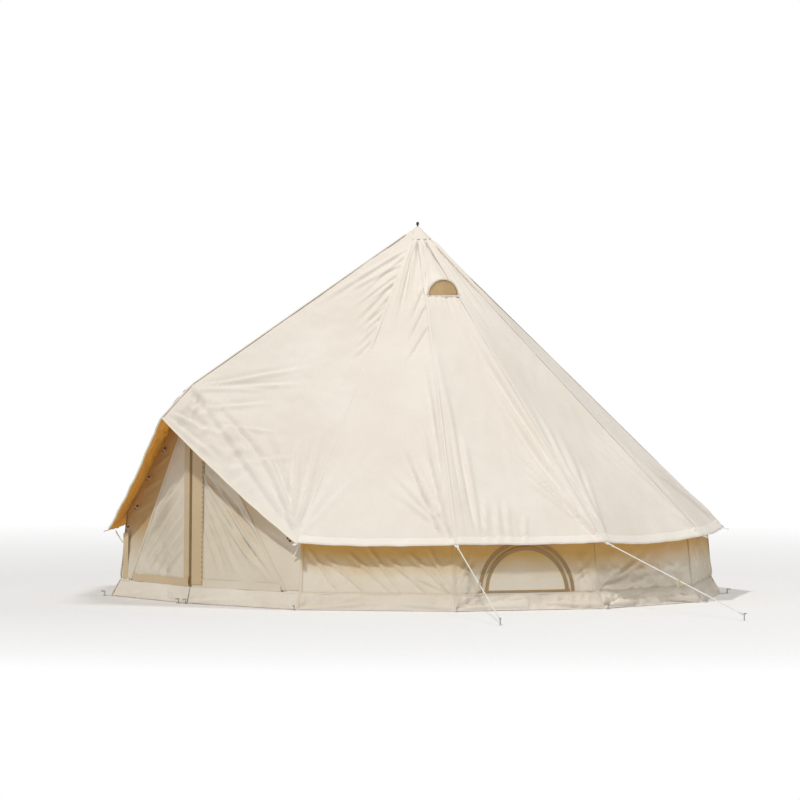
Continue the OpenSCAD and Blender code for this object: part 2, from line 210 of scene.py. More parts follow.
def joined(name, parts, material, body, nodes=(), sharp=60):
    """One piece from several (points, uv, faces) meshes, with edges sharper than sharp degrees."""
    faces, start = [], 0
    for part in parts:
        faces += [[i + start for i in face] for face in part[2]]
        start += len(part[0])
    points, uv = (np.concatenate([part[i] for part in parts]) for i in (0, 1))
    piece = add_mesh(name, points, faces, [material], uv)
    piece.data.set_sharp_from_angle(angle=math.radians(sharp))
    return place(piece, body, nodes)


RIBBON_SECTION = ((-1, -0.5), (-0.97, 1), (-0.5, 1), (0, 1), (0.5, 1), (0.97, 1),
                  (1, -0.5), (0.97, -1), (0, -1), (-0.97, -1))


def ribbon_mesh(path, side, out, width, thickness):
    """A flat band along a path. side runs across it and out is where its face looks, fixed or per point."""
    path = np.asarray(path, float)
    n, k = len(path), len(RIBBON_SECTION)
    side = unit(np.broadcast_to(side, path.shape)) * width / 2
    out = unit(np.broadcast_to(out, path.shape)) * thickness / 2
    points = np.stack([path + side * a + out * b for a, b in RIBBON_SECTION], axis=1)
    across = np.array([width / 2 * a + width / 2 for a, b in RIBBON_SECTION])
    uv = np.stack(np.broadcast_arrays(across[None], travelled(path)[:, None]), axis=-1)
    faces = grid_faces(n, k, around=True)[:, ::-1].tolist()
    for ring in (range(k), range(n * k - 1, (n - 1) * k - 1, -1)):
        faces += [[ring[0], ring[i], ring[i + 1]] for i in range(1, k - 1)]
    return points.reshape(-1, 3), uv.reshape(-1, 2), faces


def ribbons(name, bands, material, body, nodes=()):
    """One piece from several ribbons, each (path, side, out, width, thickness)."""
    return joined(name, [ribbon_mesh(*band) for band in bands], material, body, nodes, sharp=50)


def seam(path, out, width, thickness):
    """A ribbon along a path, whose face looks along out."""
    return path, np.cross(unit(np.gradient(path, axis=0)), out), out, width, thickness


def frames_along(path):
    """Unit side and up vectors at each point of a path, without a sudden turn."""
    ahead = unit(np.gradient(path, axis=0))
    side = unit(np.cross(ahead[0], UP if abs(ahead[0][2]) < 0.9 else (1.0, 0, 0)))
    sides = []
    for d in ahead:
        side = unit(side - d * (side @ d))
        sides.append(side)
    sides = np.array(sides)
    return sides, np.cross(sides, ahead)


def tube_mesh(path, radius, around=10, strands=0, twist=0.0, depth=0.0):
    """A round tube; with strands it is a laid rope whose strands turn once in twist metres."""
    side, up = (v[:, None] for v in frames_along(path))
    along = travelled(path)[:, None]
    a = (np.arange(around) * 2 * math.pi / around)[None]
    r = radius * np.ones((len(path), around))
    if strands:
        r = r * (1 - depth + depth * np.abs(np.cos(strands / 2 * (a - along * 2 * math.pi / twist))))
    points = path[:, None] + r[..., None] * (np.cos(a)[..., None] * side + np.sin(a)[..., None] * up)
    uv = np.stack(np.broadcast_arrays(a * 0.003, along), axis=-1)
    faces = grid_faces(len(path), around, around=True)[:, ::-1].tolist()
    last = (len(path) - 1) * around
    faces += [list(range(around))[::-1], list(range(last, last + around))]
    return points.reshape(-1, 3), uv.reshape(-1, 2), faces


# ---------------------------------------------------------------- materials
def node(tree, kind, inputs=None, **settings):
    """A shader node; an input is a value, or another node's output to link."""
    made = tree.nodes.new(kind)
    for key, value in settings.items():
        setattr(made, key, value)
    for key, value in (inputs or {}).items():
        if isinstance(value, bpy.types.NodeSocket):
            tree.links.new(value, made.inputs[key])
        else:
            made.inputs[key].default_value = value
    return made


def sums(tree, operation, *values):
    return node(tree, "ShaderNodeMath", dict(enumerate(values)), operation=operation).outputs[0]


def noise(tree, spot, scale, detail, roughness=0.5):
    inputs = {"Vector": spot, "Scale": scale, "Detail": detail, "Roughness": roughness}
    return node(tree, "ShaderNodeTexNoise", inputs).outputs["Fac"]


def blend_colour(tree, factor, a, b):
    a, b = (c if isinstance(c, bpy.types.NodeSocket) else (*c, 1.0) for c in (a, b))
    return node(tree, "ShaderNodeMix", {"Factor": factor, 6: a, 7: b}, data_type="RGBA").outputs[2]


def ramp(tree, value, low, high, to_low=0.0, to_high=1.0):
    inputs = {"Value": value, "From Min": low, "From Max": high, "To Min": to_low, "To Max": to_high}
    return node(tree, "ShaderNodeMapRange", inputs).outputs[0]


def add_bump(tree, shader, height, strength, distance):
    made = node(tree, "ShaderNodeBump", {"Height": height, "Strength": strength, "Distance": distance})
    tree.links.new(made.outputs[0], shader.inputs["Normal"])


def mix_shaders(tree, factor, first, second):
    join = node(tree, "ShaderNodeMixShader", {0: factor, 1: first.outputs[0], 2: second.outputs[0]})
    tree.links.new(join.outputs[0], tree.nodes["Material Output"].inputs["Surface"])


def start_material(name, **sockets):
    """A new material, its node tree and shader, and where each point of the piece is."""
    made = bpy.data.materials.new(name)
    made.use_nodes = True
    tree = made.node_tree
    shader = tree.nodes["Principled BSDF"]
    for key, value in sockets.items():
        shader.inputs[key.replace("_", " ").title()].default_value = value
    return made, tree, shader, node(tree, "ShaderNodeTexCoord").outputs["Object"]


def cloth_place(tree):
    """Where a point is on its cloth, in metres."""
    return node(tree, "ShaderNodeUVMap", uv_map="cloth").outputs[0]


def threads(tree, pitch, across="X", phase=0.0):
    """Rounded threads that repeat every pitch metres on the cloth."""
    inputs = {"Vector": cloth_place(tree), "Scale": 0.314159 / pitch, "Distortion": 0.4, "Detail": 1.0,
              "Detail Scale": 0.4, "Phase Offset": phase}
    return node(tree, "ShaderNodeTexWave", inputs, wave_type="BANDS", bands_direction=across).outputs["Fac"]


THREAD_D = 0.0009                       # sewing thread


def stitch_lines(tree, places, pitch):
    """Dashes of one pitch along lines at the given places across a band."""
    parts = node(tree, "ShaderNodeSeparateXYZ", {"Vector": cloth_place(tree)})
    dash = ramp(tree, sums(tree, "PINGPONG", parts.outputs[1], pitch), pitch * 0.15, pitch * 0.3)
    lines = []
    for x in places:
        line = sums(tree, "COMPARE", parts.outputs[0], x, THREAD_D)
        lines.append(sums(tree, "MULTIPLY", line, dash))
    return sums(tree, "MAXIMUM", *lines)


def fabric(name, tones, pitch=0.0011, rough=0.85, weave=0.5, painted_shade=None, stitches=None, sheen=0.15,
           emission=None):
    """Woven cotton between two tones: mottled colour, thread by thread weave, and a few slubs.
    painted_shade = (colour, z0, z1) is painted shade: a warm darker colour on the cloth, rising from height z0
    to full at z1. stitches = (x places, pitch) on a band. emission = (colour, strength) is painted light: the
    cloth glows by itself."""
    light, dark = tones
    made, tree, shader, spot = start_material(name, roughness=rough, sheen_weight=sheen, sheen_roughness=0.5)
    cloud = noise(tree, spot, 1.7, 5.0, 0.6)
    fine = noise(tree, spot, 60.0, 3.0)
    shades = [tuple(c * share for c in dark) for share in (0.9, 0.72, 0.8)]
    colour = blend_colour(tree, ramp(tree, cloud, 0.35, 0.7), light, dark)
    colour = blend_colour(tree, ramp(tree, fine, 0.55, 0.8, 0.0, 0.35), colour, shades[0])
    # painted shade, tinted amber like daylight through the canvas: mixed in from height z0 up, full from z1
    if painted_shade:
        height = node(tree, "ShaderNodeSeparateXYZ", {"Vector": spot}).outputs[2]
        uneven = sums(tree, "ADD", height, ramp(tree, cloud, 0.3, 0.7, -0.03, 0.03))
        colour = blend_colour(tree, ramp(tree, uneven, painted_shade[1], painted_shade[2]), colour, painted_shade[0])
    cross = sums(tree, "MAXIMUM", threads(tree, pitch, "X"), threads(tree, pitch * 1.1, "Y", 1.5))
    # painted shade: darker between the threads, where the weave's bump is low
    colour = blend_colour(tree, ramp(tree, cross, 0.2, 0.9, 0.22, 0.0), colour, shades[1])
    height = cross
    if stitches:
        lines = stitch_lines(tree, *stitches)
        colour = blend_colour(tree, lines, colour, shades[2])
        height = sums(tree, "MULTIPLY_ADD", lines, -2.0, cross)
    # painted light: the cloth glows by itself, standing in for daylight through the canvas
    if emission:
        shader.inputs["Emission Color"].default_value = (*emission[0], 1)
        shader.inputs["Emission Strength"].default_value = emission[1]
    tree.links.new(colour, shader.inputs["Base Color"])
    add_bump(tree, shader, height, weave, 0.0004)
    return made


def metal(name, light, dark, rough=0.35, metallic=1.0, grain=40.0):
    """Metal or moulded plastic with a worn, slightly uneven surface."""
    made, tree, shader, spot = start_material(name, metallic=metallic)
    cloud = noise(tree, spot, grain, 6.0, 0.65)
    tree.links.new(blend_colour(tree, ramp(tree, cloud, 0.35, 0.7), light, dark), shader.inputs["Base Color"])
    tree.links.new(ramp(tree, cloud, 0.3, 0.75, rough * 0.8, rough * 1.5), shader.inputs["Roughness"])
    add_bump(tree, shader, noise(tree, spot, grain * 12, 3.0), 0.15, 0.0005)
    return made


def wood(name, light, dark):
    made, tree, shader, spot = start_material(name, roughness=0.45)
    grain = node(tree, "ShaderNodeTexWave", {"Vector": spot, "Scale": 30.0, "Distortion": 6.0, "Detail": 4.0},
                 wave_type="BANDS", bands_direction="DIAGONAL").outputs["Fac"]
    tree.links.new(blend_colour(tree, grain, light, dark), shader.inputs["Base Color"])
    add_bump(tree, shader, grain, 0.3, 0.0004)
    return made


def netting(name, light, dark, pitch=0.0022):
    """Fine net: threads with clear holes between them."""
    made, tree, shader, spot = start_material(name, roughness=0.8)
    cross = sums(tree, "MAXIMUM", threads(tree, pitch, "X"), threads(tree, pitch, "Y"))
    cloud = ramp(tree, noise(tree, spot, 9.0, 4.0), 0.35, 0.65)
    tree.links.new(blend_colour(tree, cloud, light, dark), shader.inputs["Base Color"])
    thread = sums(tree, "GREATER_THAN", cross, 0.45)
    mix_shaders(tree, thread, node(tree, "ShaderNodeBsdfTransparent"), shader)
    return made


WALL_PAINTED_SHADE = ((0.66, 0.43, 0.12), 0.22, 0.38)    # painted shade below the eave, warm like daylight through the roof: its colour, then the heights where it starts and is full
STITCH = 0.004                          # length of one stitch
TAN = ((0.70, 0.55, 0.35), (0.62, 0.47, 0.28))
DOOR_TONES = ((0.80, 0.73, 0.60), (0.73, 0.65, 0.51))
canvas = fabric("canvas", ((0.86, 0.80, 0.72), (0.80, 0.73, 0.64)))
# painted light: the amber colour of the inner side and its own glow stand in for daylight through the canvas
canvas_inner = fabric("canvas_inner", ((0.80, 0.43, 0.09), (0.68, 0.33, 0.06)), sheen=0.0,
                      emission=((0.80, 0.40, 0.06), 0.14))
hem_canvas = fabric("hem_canvas", ((0.93, 0.88, 0.80), (0.87, 0.80, 0.71)),
                    stitches=((0.004, HEM_W - 0.004), STITCH))
seam_canvas = fabric("seam_canvas", ((0.89, 0.83, 0.75), (0.84, 0.77, 0.68)),
                     stitches=((0.003, 0.013), STITCH))
wall_seam_canvas = fabric("wall_seam_canvas", ((0.82, 0.74, 0.60), (0.76, 0.67, 0.52)), painted_shade=WALL_PAINTED_SHADE,
                          stitches=((0.004, 0.016), STITCH))
wall_canvas = fabric("wall_canvas", ((0.87, 0.80, 0.68), (0.80, 0.72, 0.58)), painted_shade=WALL_PAINTED_SHADE)
# painted shade under the hood: the leaves' tops are warm and darker from height 1.02 up, full from 1.26
door_canvas = fabric("door_canvas", DOOR_TONES, painted_shade=((0.48, 0.33, 0.15), 1.02, 1.26))
flap_inner = fabric("flap_inner", ((0.84, 0.71, 0.50), (0.76, 0.62, 0.41)))
# painted shade under the hood on the fixed cloth beside the door, warm like daylight through the hood; most on
# the side away from the sun
gable_canvas = {"left": fabric("gable_canvas_left", DOOR_TONES, painted_shade=((0.52, 0.33, 0.12), 0.22, 0.48)),
                "right": fabric("gable_canvas_right", DOOR_TONES, painted_shade=((0.58, 0.42, 0.20), 0.42, 0.90))}
band_canvas = fabric("band_canvas", ((0.87, 0.81, 0.71), (0.80, 0.72, 0.60)), weave=0.6)
tan_canvas = fabric("tan_canvas", TAN)
# painted shade under the hood: the tan zip facing and storm flap are warm and darker from height 1.02 up, full
# from 1.22
facing_canvas = fabric("facing_canvas", TAN, painted_shade=((0.42, 0.28, 0.12), 1.02, 1.22))
zip_band = fabric("zip_band", ((0.30, 0.18, 0.08), (0.22, 0.13, 0.05)), pitch=0.0014)
window_tape = fabric("window_tape", ((0.48, 0.32, 0.16), (0.38, 0.25, 0.12)), pitch=0.0014)
webbing = fabric("webbing", ((0.88, 0.86, 0.80), (0.80, 0.77, 0.70)), pitch=0.002, weave=0.9)
piping = fabric("piping", ((0.95, 0.90, 0.76), (0.90, 0.83, 0.66)))
rope_cotton = fabric("rope_cotton", ((0.90, 0.88, 0.84), (0.82, 0.79, 0.73)), pitch=0.0015, weave=0.8)
groundsheet_pvc = fabric("groundsheet_pvc", ((0.16, 0.18, 0.15), (0.12, 0.14, 0.12)), rough=0.55, weave=0.3,
                         sheen=0.0)
net = netting("net", (0.85, 0.63, 0.34), (0.75, 0.53, 0.26))
galvanised = metal("galvanised", (0.62, 0.63, 0.64), (0.48, 0.49, 0.50), rough=0.32, grain=18.0)
peg_metal = metal("peg_metal", (0.58, 0.59, 0.60), (0.42, 0.42, 0.42), rough=0.38)
brass = metal("brass", (0.72, 0.53, 0.25), (0.55, 0.38, 0.16), rough=0.3, grain=90.0)
dark_plastic = metal("dark_plastic", (0.030, 0.028, 0.026), (0.018, 0.017, 0.016), rough=0.5, metallic=0.0,
                     grain=30.0)
toggle_wood = wood("toggle_wood", (0.16, 0.07, 0.025), (0.07, 0.03, 0.012))
runner_wood = wood("runner_wood", (0.74, 0.62, 0.44), (0.60, 0.47, 0.30))


# ---------------------------------------------------------------- cords
def guy_rope(name):
    """A laid rope pulled straight from its eave tab to its peg, with whipping near each end."""
    start, end = (np.array(p) for p in ROPES[name])
    route, fine = (np.array([mix(start, end, i / n) for i in range(n + 1)]) for n in (24, 520))
    length = float(np.linalg.norm(end - start))
    laid = tube_mesh(fine, ROPE_D / 2, 12, strands=3, twist=0.04, depth=0.14)
    rope = joined(f"guy_rope_laid_{name}", [laid], rope_cotton, "tent", [f"guy_rope_{name}"])
    along = unit(end - start)
    side, up = frames_along(fine[:2])
    turns = []
    for where, long in ((0.018, 0.03), (length - 0.05, 0.034)):
        rise = np.linspace(0, long, 120)[:, None]
        coil = start + along * where + along * rise + circle(120, side[0], up[0], ROPE_D / 2 + 0.001, turns=7)
        turns.append(tube_mesh(coil, 0.0018, 8))
    whipping = joined(f"rope_whipping_{name}", turns, rope_cotton, "tent")


for rope_name in ROPES:
    guy_rope(rope_name)


# ---------------------------------------------------------------- folds
def lattice(x, y, cell, seed):
    """Smooth seeded noise between -1 and 1 with bumps about cell metres wide."""
    table = np.random.default_rng(seed).uniform(-1, 1, (97, 89))
    px, py = x / cell + 31.7, y / cell + 23.3
    ix, iy = np.floor(px).astype(int), np.floor(py).astype(int)
    fx, fy = smooth(0, 1, px - ix), smooth(0, 1, py - iy)
    at = lambda i, j: table[i % 97, j % 89]
    return mix(mix(at(ix, iy), at(ix + 1, iy), fx), mix(at(ix, iy + 1), at(ix + 1, iy + 1), fx), fy)


def crumple(x, y, cell, seed):
    """Creased noise: flat facets that meet in sharp lines."""
    a = 1 - np.abs(lattice(x, y, cell, seed)) * 2
    b = 1 - np.abs(lattice(x + 0.3, y, cell * 0.55, seed + 1)) * 2
    return 0.65 * a + 0.35 * b


class Patch:
    """A four-sided piece of cloth between a left and a right edge as seen from outside.
    u runs from left to right and v from top to bottom, both 0 to 1; x and y are metres across and down."""

    def __init__(self, left, right, relief=None, droop=0.0, droop_from=0.7):
        self.left, self.right, self.relief = left, right, relief
        self.droop, self.droop_from = droop, droop_from
        (lt, lb), (rt, rb) = ((side(0.0), side(1.0)) for side in (left, right))
        self.across = unit(rb - lb + rt - lt)
        down = (lb + rb - lt - rt) / 2
        self.down = unit(down - self.across * (down @ self.across))
        self.out = np.cross(self.down, self.across)
        self.origin = (lt + rt) / 2

    def base(self, u, v):
        return mix(self.left(v), self.right(v), np.asarray(u)[..., None])

    def foot(self, up):
        """The middle of the lower edge, moved up."""
        return self.base(0.5, 1.0) - self.down * up

    def local(self, u, v):
        q = self.base(u, v) - self.origin
        return q @ self.across, q @ self.down

    def point(self, u, v, lift=0.0):
        u, v = np.broadcast_arrays(np.asarray(u, float), np.asarray(v, float))
        if self.relief:
            lift = lift + self.relief(self, u, v)
        p = self.base(u, v) + self.out * np.asarray(lift + np.zeros(u.shape))[..., None]
        fall = self.droop * 4 * u * (1 - u) * smooth(self.droop_from, 1.0, v)
        return p - fall[..., None] * UP

    def crease(self, u, v, start, end, width, height, fade=0.55):
        """A fold along the line from start to end, both (u, v): a ridge with a valley on its left."""
        (x, y), (ax, ay), (bx, by) = self.local(u, v), self.local(*start), self.local(*end)
        dx, dy = bx - ax, by - ay
        length = math.hypot(dx, dy)
        along = ((x - ax) * dx + (y - ay) * dy) / length ** 2
        off = ((x - ax) * dy - (y - ay) * dx) / length
        spread = np.maximum(width * (0.6 + 0.6 * np.clip(along, 0, 1)), 0.012)
        shape = np.exp(-(off / spread) ** 2) - 0.7 * np.exp(-((off - 1.25 * spread) / (1.2 * spread)) ** 2)
        return height * shape * smooth(-0.03, 0.18, along) * (1 - smooth(fade, 1.03, along))

    def fan(self, u, v, at, first, last, count, width, height, seed):
        """Folds that run out of one corner, towards points spread from first to last."""
        rng = np.random.default_rng(seed)
        total = 0.0
        for i in range(count):
            t = (i + 0.5 + rng.uniform(-0.3, 0.3)) / count
            reach = rng.uniform(0.65, 1.0)
            aim = [mix(a, mix(f, l, t), reach) for a, f, l in zip(at, first, last)]
            own_width, own_height = width * rng.uniform(0.7, 1.3), height * rng.uniform(0.5, 1.1)
            total = total + self.crease(u, v, at, aim, own_width, own_height)
        return total

    def folds(self, u, v, fans=(), lines=(), *size):
        """Fans and single creases added up; size gives the creases' width and height if the lines don't."""
        return sum(self.fan(u, v, *f) for f in fans) + sum(self.crease(u, v, *line, *size) for line in lines)


def framed(u, v, side=0.05, top=0.02, bottom=0.0):
    """1 inside a patch and 0 on its edges; a bottom of 0 leaves the lower edge free."""
    window = smooth(0, side, u) * smooth(0, side, 1 - u) * smooth(0, top, v)
    return window * smooth(0, bottom, 1 - v) if bottom else window


def limited(height, most):
    """Levels off where folds run together, so that the cloth doesn't pass through itself."""
    return most * np.tanh(height / most)


ROOF_FOLDS, WALL_FOLDS, DOOR_FOLDS = 3.0, 1.8, 2.3      # how many times deeper than their given heights


# ---------------------------------------------------------------- canopy
def roof_corner(az):
    return edge([polar(az, CROWN_R, PEAK_H - CROWN_R * CORNER_SLOPE), polar(az, EAVE_R, EAVE_H)])


RIDGE = edge([(0, -CROWN_R, PEAK_H - CROWN_R * (PEAK_H - GABLE_H) / GABLE_D), (0, -GABLE_D, GABLE_H),
              (0, -GABLE_D - HOOD_REACH, GABLE_H - HOOD_DROP)], (0, HOOD_V, 1))


# Folds are written as on a patch: places are (u, v), widths and heights are metres.
# A fan is (corner, first aim, last aim, count, width, height, seed). A line is (start, end, width, height).
GORE_FOLDS = {
    45: ([((1.0, 0.985), (0.42, 0.79), (0.84, 0.45), 9, 0.016, 0.008, 11),
          ((0.0, 0.99), (0.35, 0.80), (0.10, 0.55), 2, 0.026, 0.006, 12)],
         [((0.97, top - 0.08), (0.55, top + 0.05), 0.014, 0.004) for top in (0.24, 0.30, 0.37)]
         + [((0.99, 0.99), (0.90, 0.38), 0.016, 0.009), ((0.97, 0.98), (0.80, 0.56), 0.016, 0.009),
            ((0.93, 0.99), (0.62, 0.66), 0.016, 0.009)]),
    75: ([((0.97, 0.985), (0.40, 0.72), (0.80, 0.45), 7, 0.016, 0.008, 21)],
         [((0.97, 0.99), (0.82, 0.24), 0.026, 0.013), ((0.93, 0.97), (0.74, 0.42), 0.024, 0.010),
          ((0.06, 0.96), (0.03, 0.32), 0.020, 0.008), ((0.11, 0.97), (0.09, 0.40), 0.020, 0.008),
          ((0.17, 0.97), (0.20, 0.62), 0.020, 0.008)]
         + [((foot, 1.0), (foot + 0.07, top), 0.016, 0.006)
            for foot, top in ((0.20, 0.84), (0.28, 0.86), (0.36, 0.84), (0.46, 0.90))]),
    105: ([((0.97, 0.99), (0.40, 0.62), (0.72, 0.50), 5, 0.022, 0.007, 31),
           ((0.02, 0.99), (0.40, 0.70), (0.12, 0.45), 5, 0.022, 0.007, 32)], []),
}
FRONT_FOLDS = [  # from the ridge, across the panel and round the hood
    ((1.0, 0.09), (0.20, 0.31), 0.018, 0.006), ((1.0, 0.04), (0.06, 0.43), 0.020, 0.006),
    ((1.0, 0.06), (0.40, 0.28), 0.014, 0.005), ((1.0, 0.12), (0.45, 0.33), 0.014, 0.005),
    ((1.0, 0.15), (0.55, 0.30), 0.013, 0.005), ((1.0, 0.22), (0.74, 0.33), 0.013, 0.005),
    ((1.0, 0.28), (0.80, 0.40), 0.014, 0.005), ((0.98, 0.99), (0.86, 0.66), 0.018, 0.008),
    ((0.96, 0.985), (0.72, 0.74), 0.018, 0.009), ((0.30, 0.90), (0.60, 0.78), 0.020, 0.008),
    ((0.16, 0.90), (0.44, 0.72), 0.018, 0.007), ((0.55, 0.92), (0.78, 0.80), 0.018, 0.008),
    ((0.95, 0.15), (0.60, 0.35), 0.018, 0.007), ((1.0, 0.19), (0.70, 0.36), 0.016, 0.006),
    ((1.0, 0.25), (0.79, 0.36), 0.016, 0.006), ((1.0, 0.33), (0.82, 0.44), 0.016, 0.004),
    ((0.04, 0.86), (0.50, 0.55), 0.018, 0.007), ((0.05, 0.86), (0.56, 0.60), 0.018, 0.006),
    ((0.05, 0.87), (0.36, 0.70), 0.016, 0.006),
    ((0.97, 0.98), (0.52, 0.83), 0.022, 0.015), ((0.95, 0.95), (0.40, 0.84), 0.022, 0.014),
    ((0.90, 0.91), (0.44, 0.78), 0.020, 0.012), ((0.62, 0.87), (0.18, 0.85), 0.020, 0.012),
    ((0.07, 0.86), (0.16, 0.96), 0.016, 0.010), ((0.05, 0.87), (0.10, 0.98), 0.016, 0.010),
    ((0.03, 0.97), (0.30, 0.93), 0.018, 0.008), ((0.02, 0.99), (0.42, 0.97), 0.018, 0.007),
]


def gore_relief(az, seed):
    """The relief of one roof gore: a shallow inward belly, soft pulls from its corners, and faint puckers."""
    usual = [((1.0, 1.0), (0.35, 0.75), (0.85, 0.45), 5, 0.022, 0.007, seed + 2),
             ((0.0, 1.0), (0.65, 0.75), (0.12, 0.4), 4, 0.022, 0.006, seed + 3)]
    fans, lines = GORE_FOLDS.get(az, (usual, []))
    fans = [((0.5, -0.02), (0.05, 0.35), (0.95, 0.35), 6, 0.014, 0.005, seed + 1), *fans]

    def relief(patch, u, v):
        x, y = patch.local(u, v)
        total = -0.016 * np.sin(math.pi * u) * smooth(0.1, 0.6, v) * (1 - 0.9 * smooth(0.72, 0.93, v))
        total = total + 0.004 * lattice(x, y * 0.35, 0.11, seed) + 0.002 * lattice(x, y * 0.5, 0.05, seed + 5)
        total = total + limited(ROOF_FOLDS * patch.folds(u, v, fans, lines), 0.024)
        return total * framed(u, v, 0.035, 0.05)
    return relief


def mirror(place_, flip):
    return (1 - place_[0], place_[1]) if flip else place_


def front_relief(seed, flip):
    """Folds of a front panel and its hood half; flip mirrors them for the left one."""
    lines = [(mirror(a, flip), mirror(b, flip), w * 0.9, -h if flip else h) for a, b, w, h in FRONT_FOLDS]
    leg = [mirror((0.99, 0.975), flip), mirror((0.0, HOOD_V), flip)]

    def relief(patch, u, v):
        x, y = patch.local(u, v)
        inner = 1 - u if flip else u
        total = limited(ROOF_FOLDS * patch.folds(u, v, (), lines), 0.022)
        total = total * mix(0.5, 1.0, smooth(0.34, 0.5, v))
        total = total + 0.004 * lattice(x, y, 0.10, seed) + 0.002 * lattice(x, y, 0.05, seed + 4)
        total = total - 0.015 * np.sin(math.pi * u) * smooth(0.1, 0.6, v) * (1 - smooth(0.8, 1.0, v))
        hood = smooth(HOOD_V - 0.04, HOOD_V + 0.04, v) * (1 - smooth(0.3, 0.8, inner))
        hood = hood * (1 - 0.85 * smooth(0.93, 1.0, v)) * smooth(0.02, 0.1, inner)
        total = total + 0.024 * hood * crumple(x, y, 0.09, seed + 2)
        total = total + 0.010 * smooth(0.72, 0.86, v) * (1 - smooth(0.94, 1.0, v))
        # the cloth bears on the frame leg: a ridge along the leg, and a hollow where the hood starts
        total = total + patch.crease(u, v, *(leg[::-1] if flip else leg), 0.024, 0.019, 0.93)
        # it stays clear of the gable's top edge
        total = np.maximum(total, mix(-0.05, -0.002, smooth(0.74, 0.84, v)))
        return total * framed(u, v, 0.035, 0.04)
    return relief


def panel_edges(corner, az):
    """The left and right edges of the side whose middle is at azimuth az."""
    return corner(az - STEP / 2), corner(az + STEP / 2)


def canopy_patches():
    made = [Patch(RIDGE, roof_corner(30), front_relief(5, False), 0.028, 0.90)]
    droops = {45: 0.014, 75: 0.006, 105: 0.026}
    for i, az in enumerate(PANELS):
        droop = droops.get(az, 0.012 + 0.006 * (i % 3))
        made.append(Patch(*panel_edges(roof_corner, az), gore_relief(az, 100 + 10 * i), droop))
    made.append(Patch(roof_corner(330), RIDGE, front_relief(6, True), 0.028, 0.90))
    return made


def patch_row_grid(patches, cols, rows, lift=0.0, v0=0.0, closed=False):
    """Points and cloth coordinates of neighbouring patches as one grid of rows, from v0 down."""
    v = np.linspace(v0, 1.0, rows)[:, None]
    points, uvs, shift = [], [], 0.0
    for patch in patches:
        u = np.linspace(0, 1, cols + 1)[None, :]
        if patch is not patches[-1] or closed:
            u = u[:, :-1]
        points.append(patch.point(u, v, lift))
        x, y = patch.local(u + 0 * v, v + 0 * u)
        uvs.append(np.stack([x + shift, y], axis=-1))
        shift += float(np.linalg.norm(patch.base(1.0, 1.0) - patch.base(0.0, 1.0)))
    return np.concatenate(points, axis=1), np.concatenate(uvs, axis=1)


def cloth_strip(name, patches, cols, rows, materials, body, nodes, lift=0.0, closed=False):
    points, uv = patch_row_grid(patches, cols, rows, lift, closed=closed)
    faces = grid_faces(points.shape[0], points.shape[1], around=closed)
    return place(cloth_mesh(name, points, faces, materials, uv), body, nodes)


GORE_COLS, GORE_ROWS = 56, 168
ROOF_NODES = [f"roof_gore_{az:03d}" for az in PANELS]
ROOF_NODES += ["roof_front_right", "roof_front_left", "hood_right", "hood_left"]
canopy = canopy_patches()
roof = cloth_strip("canopy_cloth", canopy, GORE_COLS, GORE_ROWS, [canvas, canvas_inner], "tent",
                   ROOF_NODES, closed=True)


def seam_on(patch, places, width, lift, thickness=0.0014):
    """A flat seam that follows (u, v) places over a patch."""
    return seam(np.array([patch.point(u, v, lift) for u, v in places]), patch.out, width, thickness)


def corner_seam(left, right):
    """The seam where two neighbouring roof panels meet."""
    out = unit(left.out + right.out)
    path = np.array([left.point(1.0, v) for v in np.linspace(0.02, 0.997, 60)])
    return seam(path + out * 0.0009, out, 0.018, 0.0014)


roof_seams = [corner_seam(a, b) for a, b in zip(canopy, canopy[1:] + canopy[:1])]
seams = ribbons("canopy_seams", roof_seams, seam_canvas, "tent")


def hem_rows(rows=6):
    """The doubled hem: the same cloth, a layer further out, as wide as HEM_W along the slope."""
    points, uv = patch_row_grid(canopy[1:-1], GORE_COLS, rows, lift=0.0015, v0=1 - HEM_W / 2.75)
    down = np.linspace(0.0, HEM_W, rows)[:, None] + 0 * uv[..., 0]
    piece = cloth_mesh("canopy_hem", points, grid_faces(rows, points.shape[1]), [hem_canvas],
                       np.stack([down, uv[..., 0]], axis=-1))
    return place(piece, "tent")


def rolled_edge(patches, radius, around):
    """A rolled edge along the lower edges of neighbouring panels."""
    u = np.linspace(0, 1, 40)[:-1]
    path = [p.point(u, 1.0) for p in patches] + [[patches[-1].point(1.0, 1.0)]]
    return tube_mesh(np.concatenate(path), radius, around)


hem = hem_rows()
eave_roll = joined("eave_rolled_edge", [rolled_edge(canopy[1:-1], 0.0045, 8)], hem_canvas, "tent")
hood_edges = [rolled_edge(part, 0.006, 10) for part in (canopy[:1], canopy[-1:])]
hood_pipe = joined("hood_piping", hood_edges, piping, "tent")


def peak_cap(rows=14):
    """The doubled cap of canvas round the pole, with its corners over the roof seams."""
    az, t = np.arange(0, 360, 3.0)[None, :], np.linspace(0, 1, rows)[:, None]
    r = mix(0.007, 0.092, t)
    z = PEAK_H + 0.0035 - r * CORNER_SLOPE + 0.0012 * np.sin(az * 0.35) * t
    points = polar(az, r * mix(1.0, straight_side(az), t), z)
    piece = cloth_mesh("peak_cap_cloth", points, grid_faces(rows, az.size, around=True), [canvas],
                       points[..., :2] * 1.4, thickness=0.002)
    return place(piece, "tent", ["peak_cap"])


cap = peak_cap()


# ---------------------------------------------------------------- walls
WINDOW_WALL_FOLDS = [((0.14, 0.70), (0.36, 0.93)), ((0.06, 0.55), (0.22, 0.95)), ((0.93, 0.6), (0.80, 0.95)),
                     ((0.04, 0.95), (0.16, 0.45)), ((0.03, 0.85), (0.12, 0.30)), ((0.96, 0.9), (0.86, 0.4))]


def wall_corner(az):
    return edge([polar(az, WALL_R + 0.0018, WALL_H - 0.02), polar(az, BAND_R, BAND_H)])


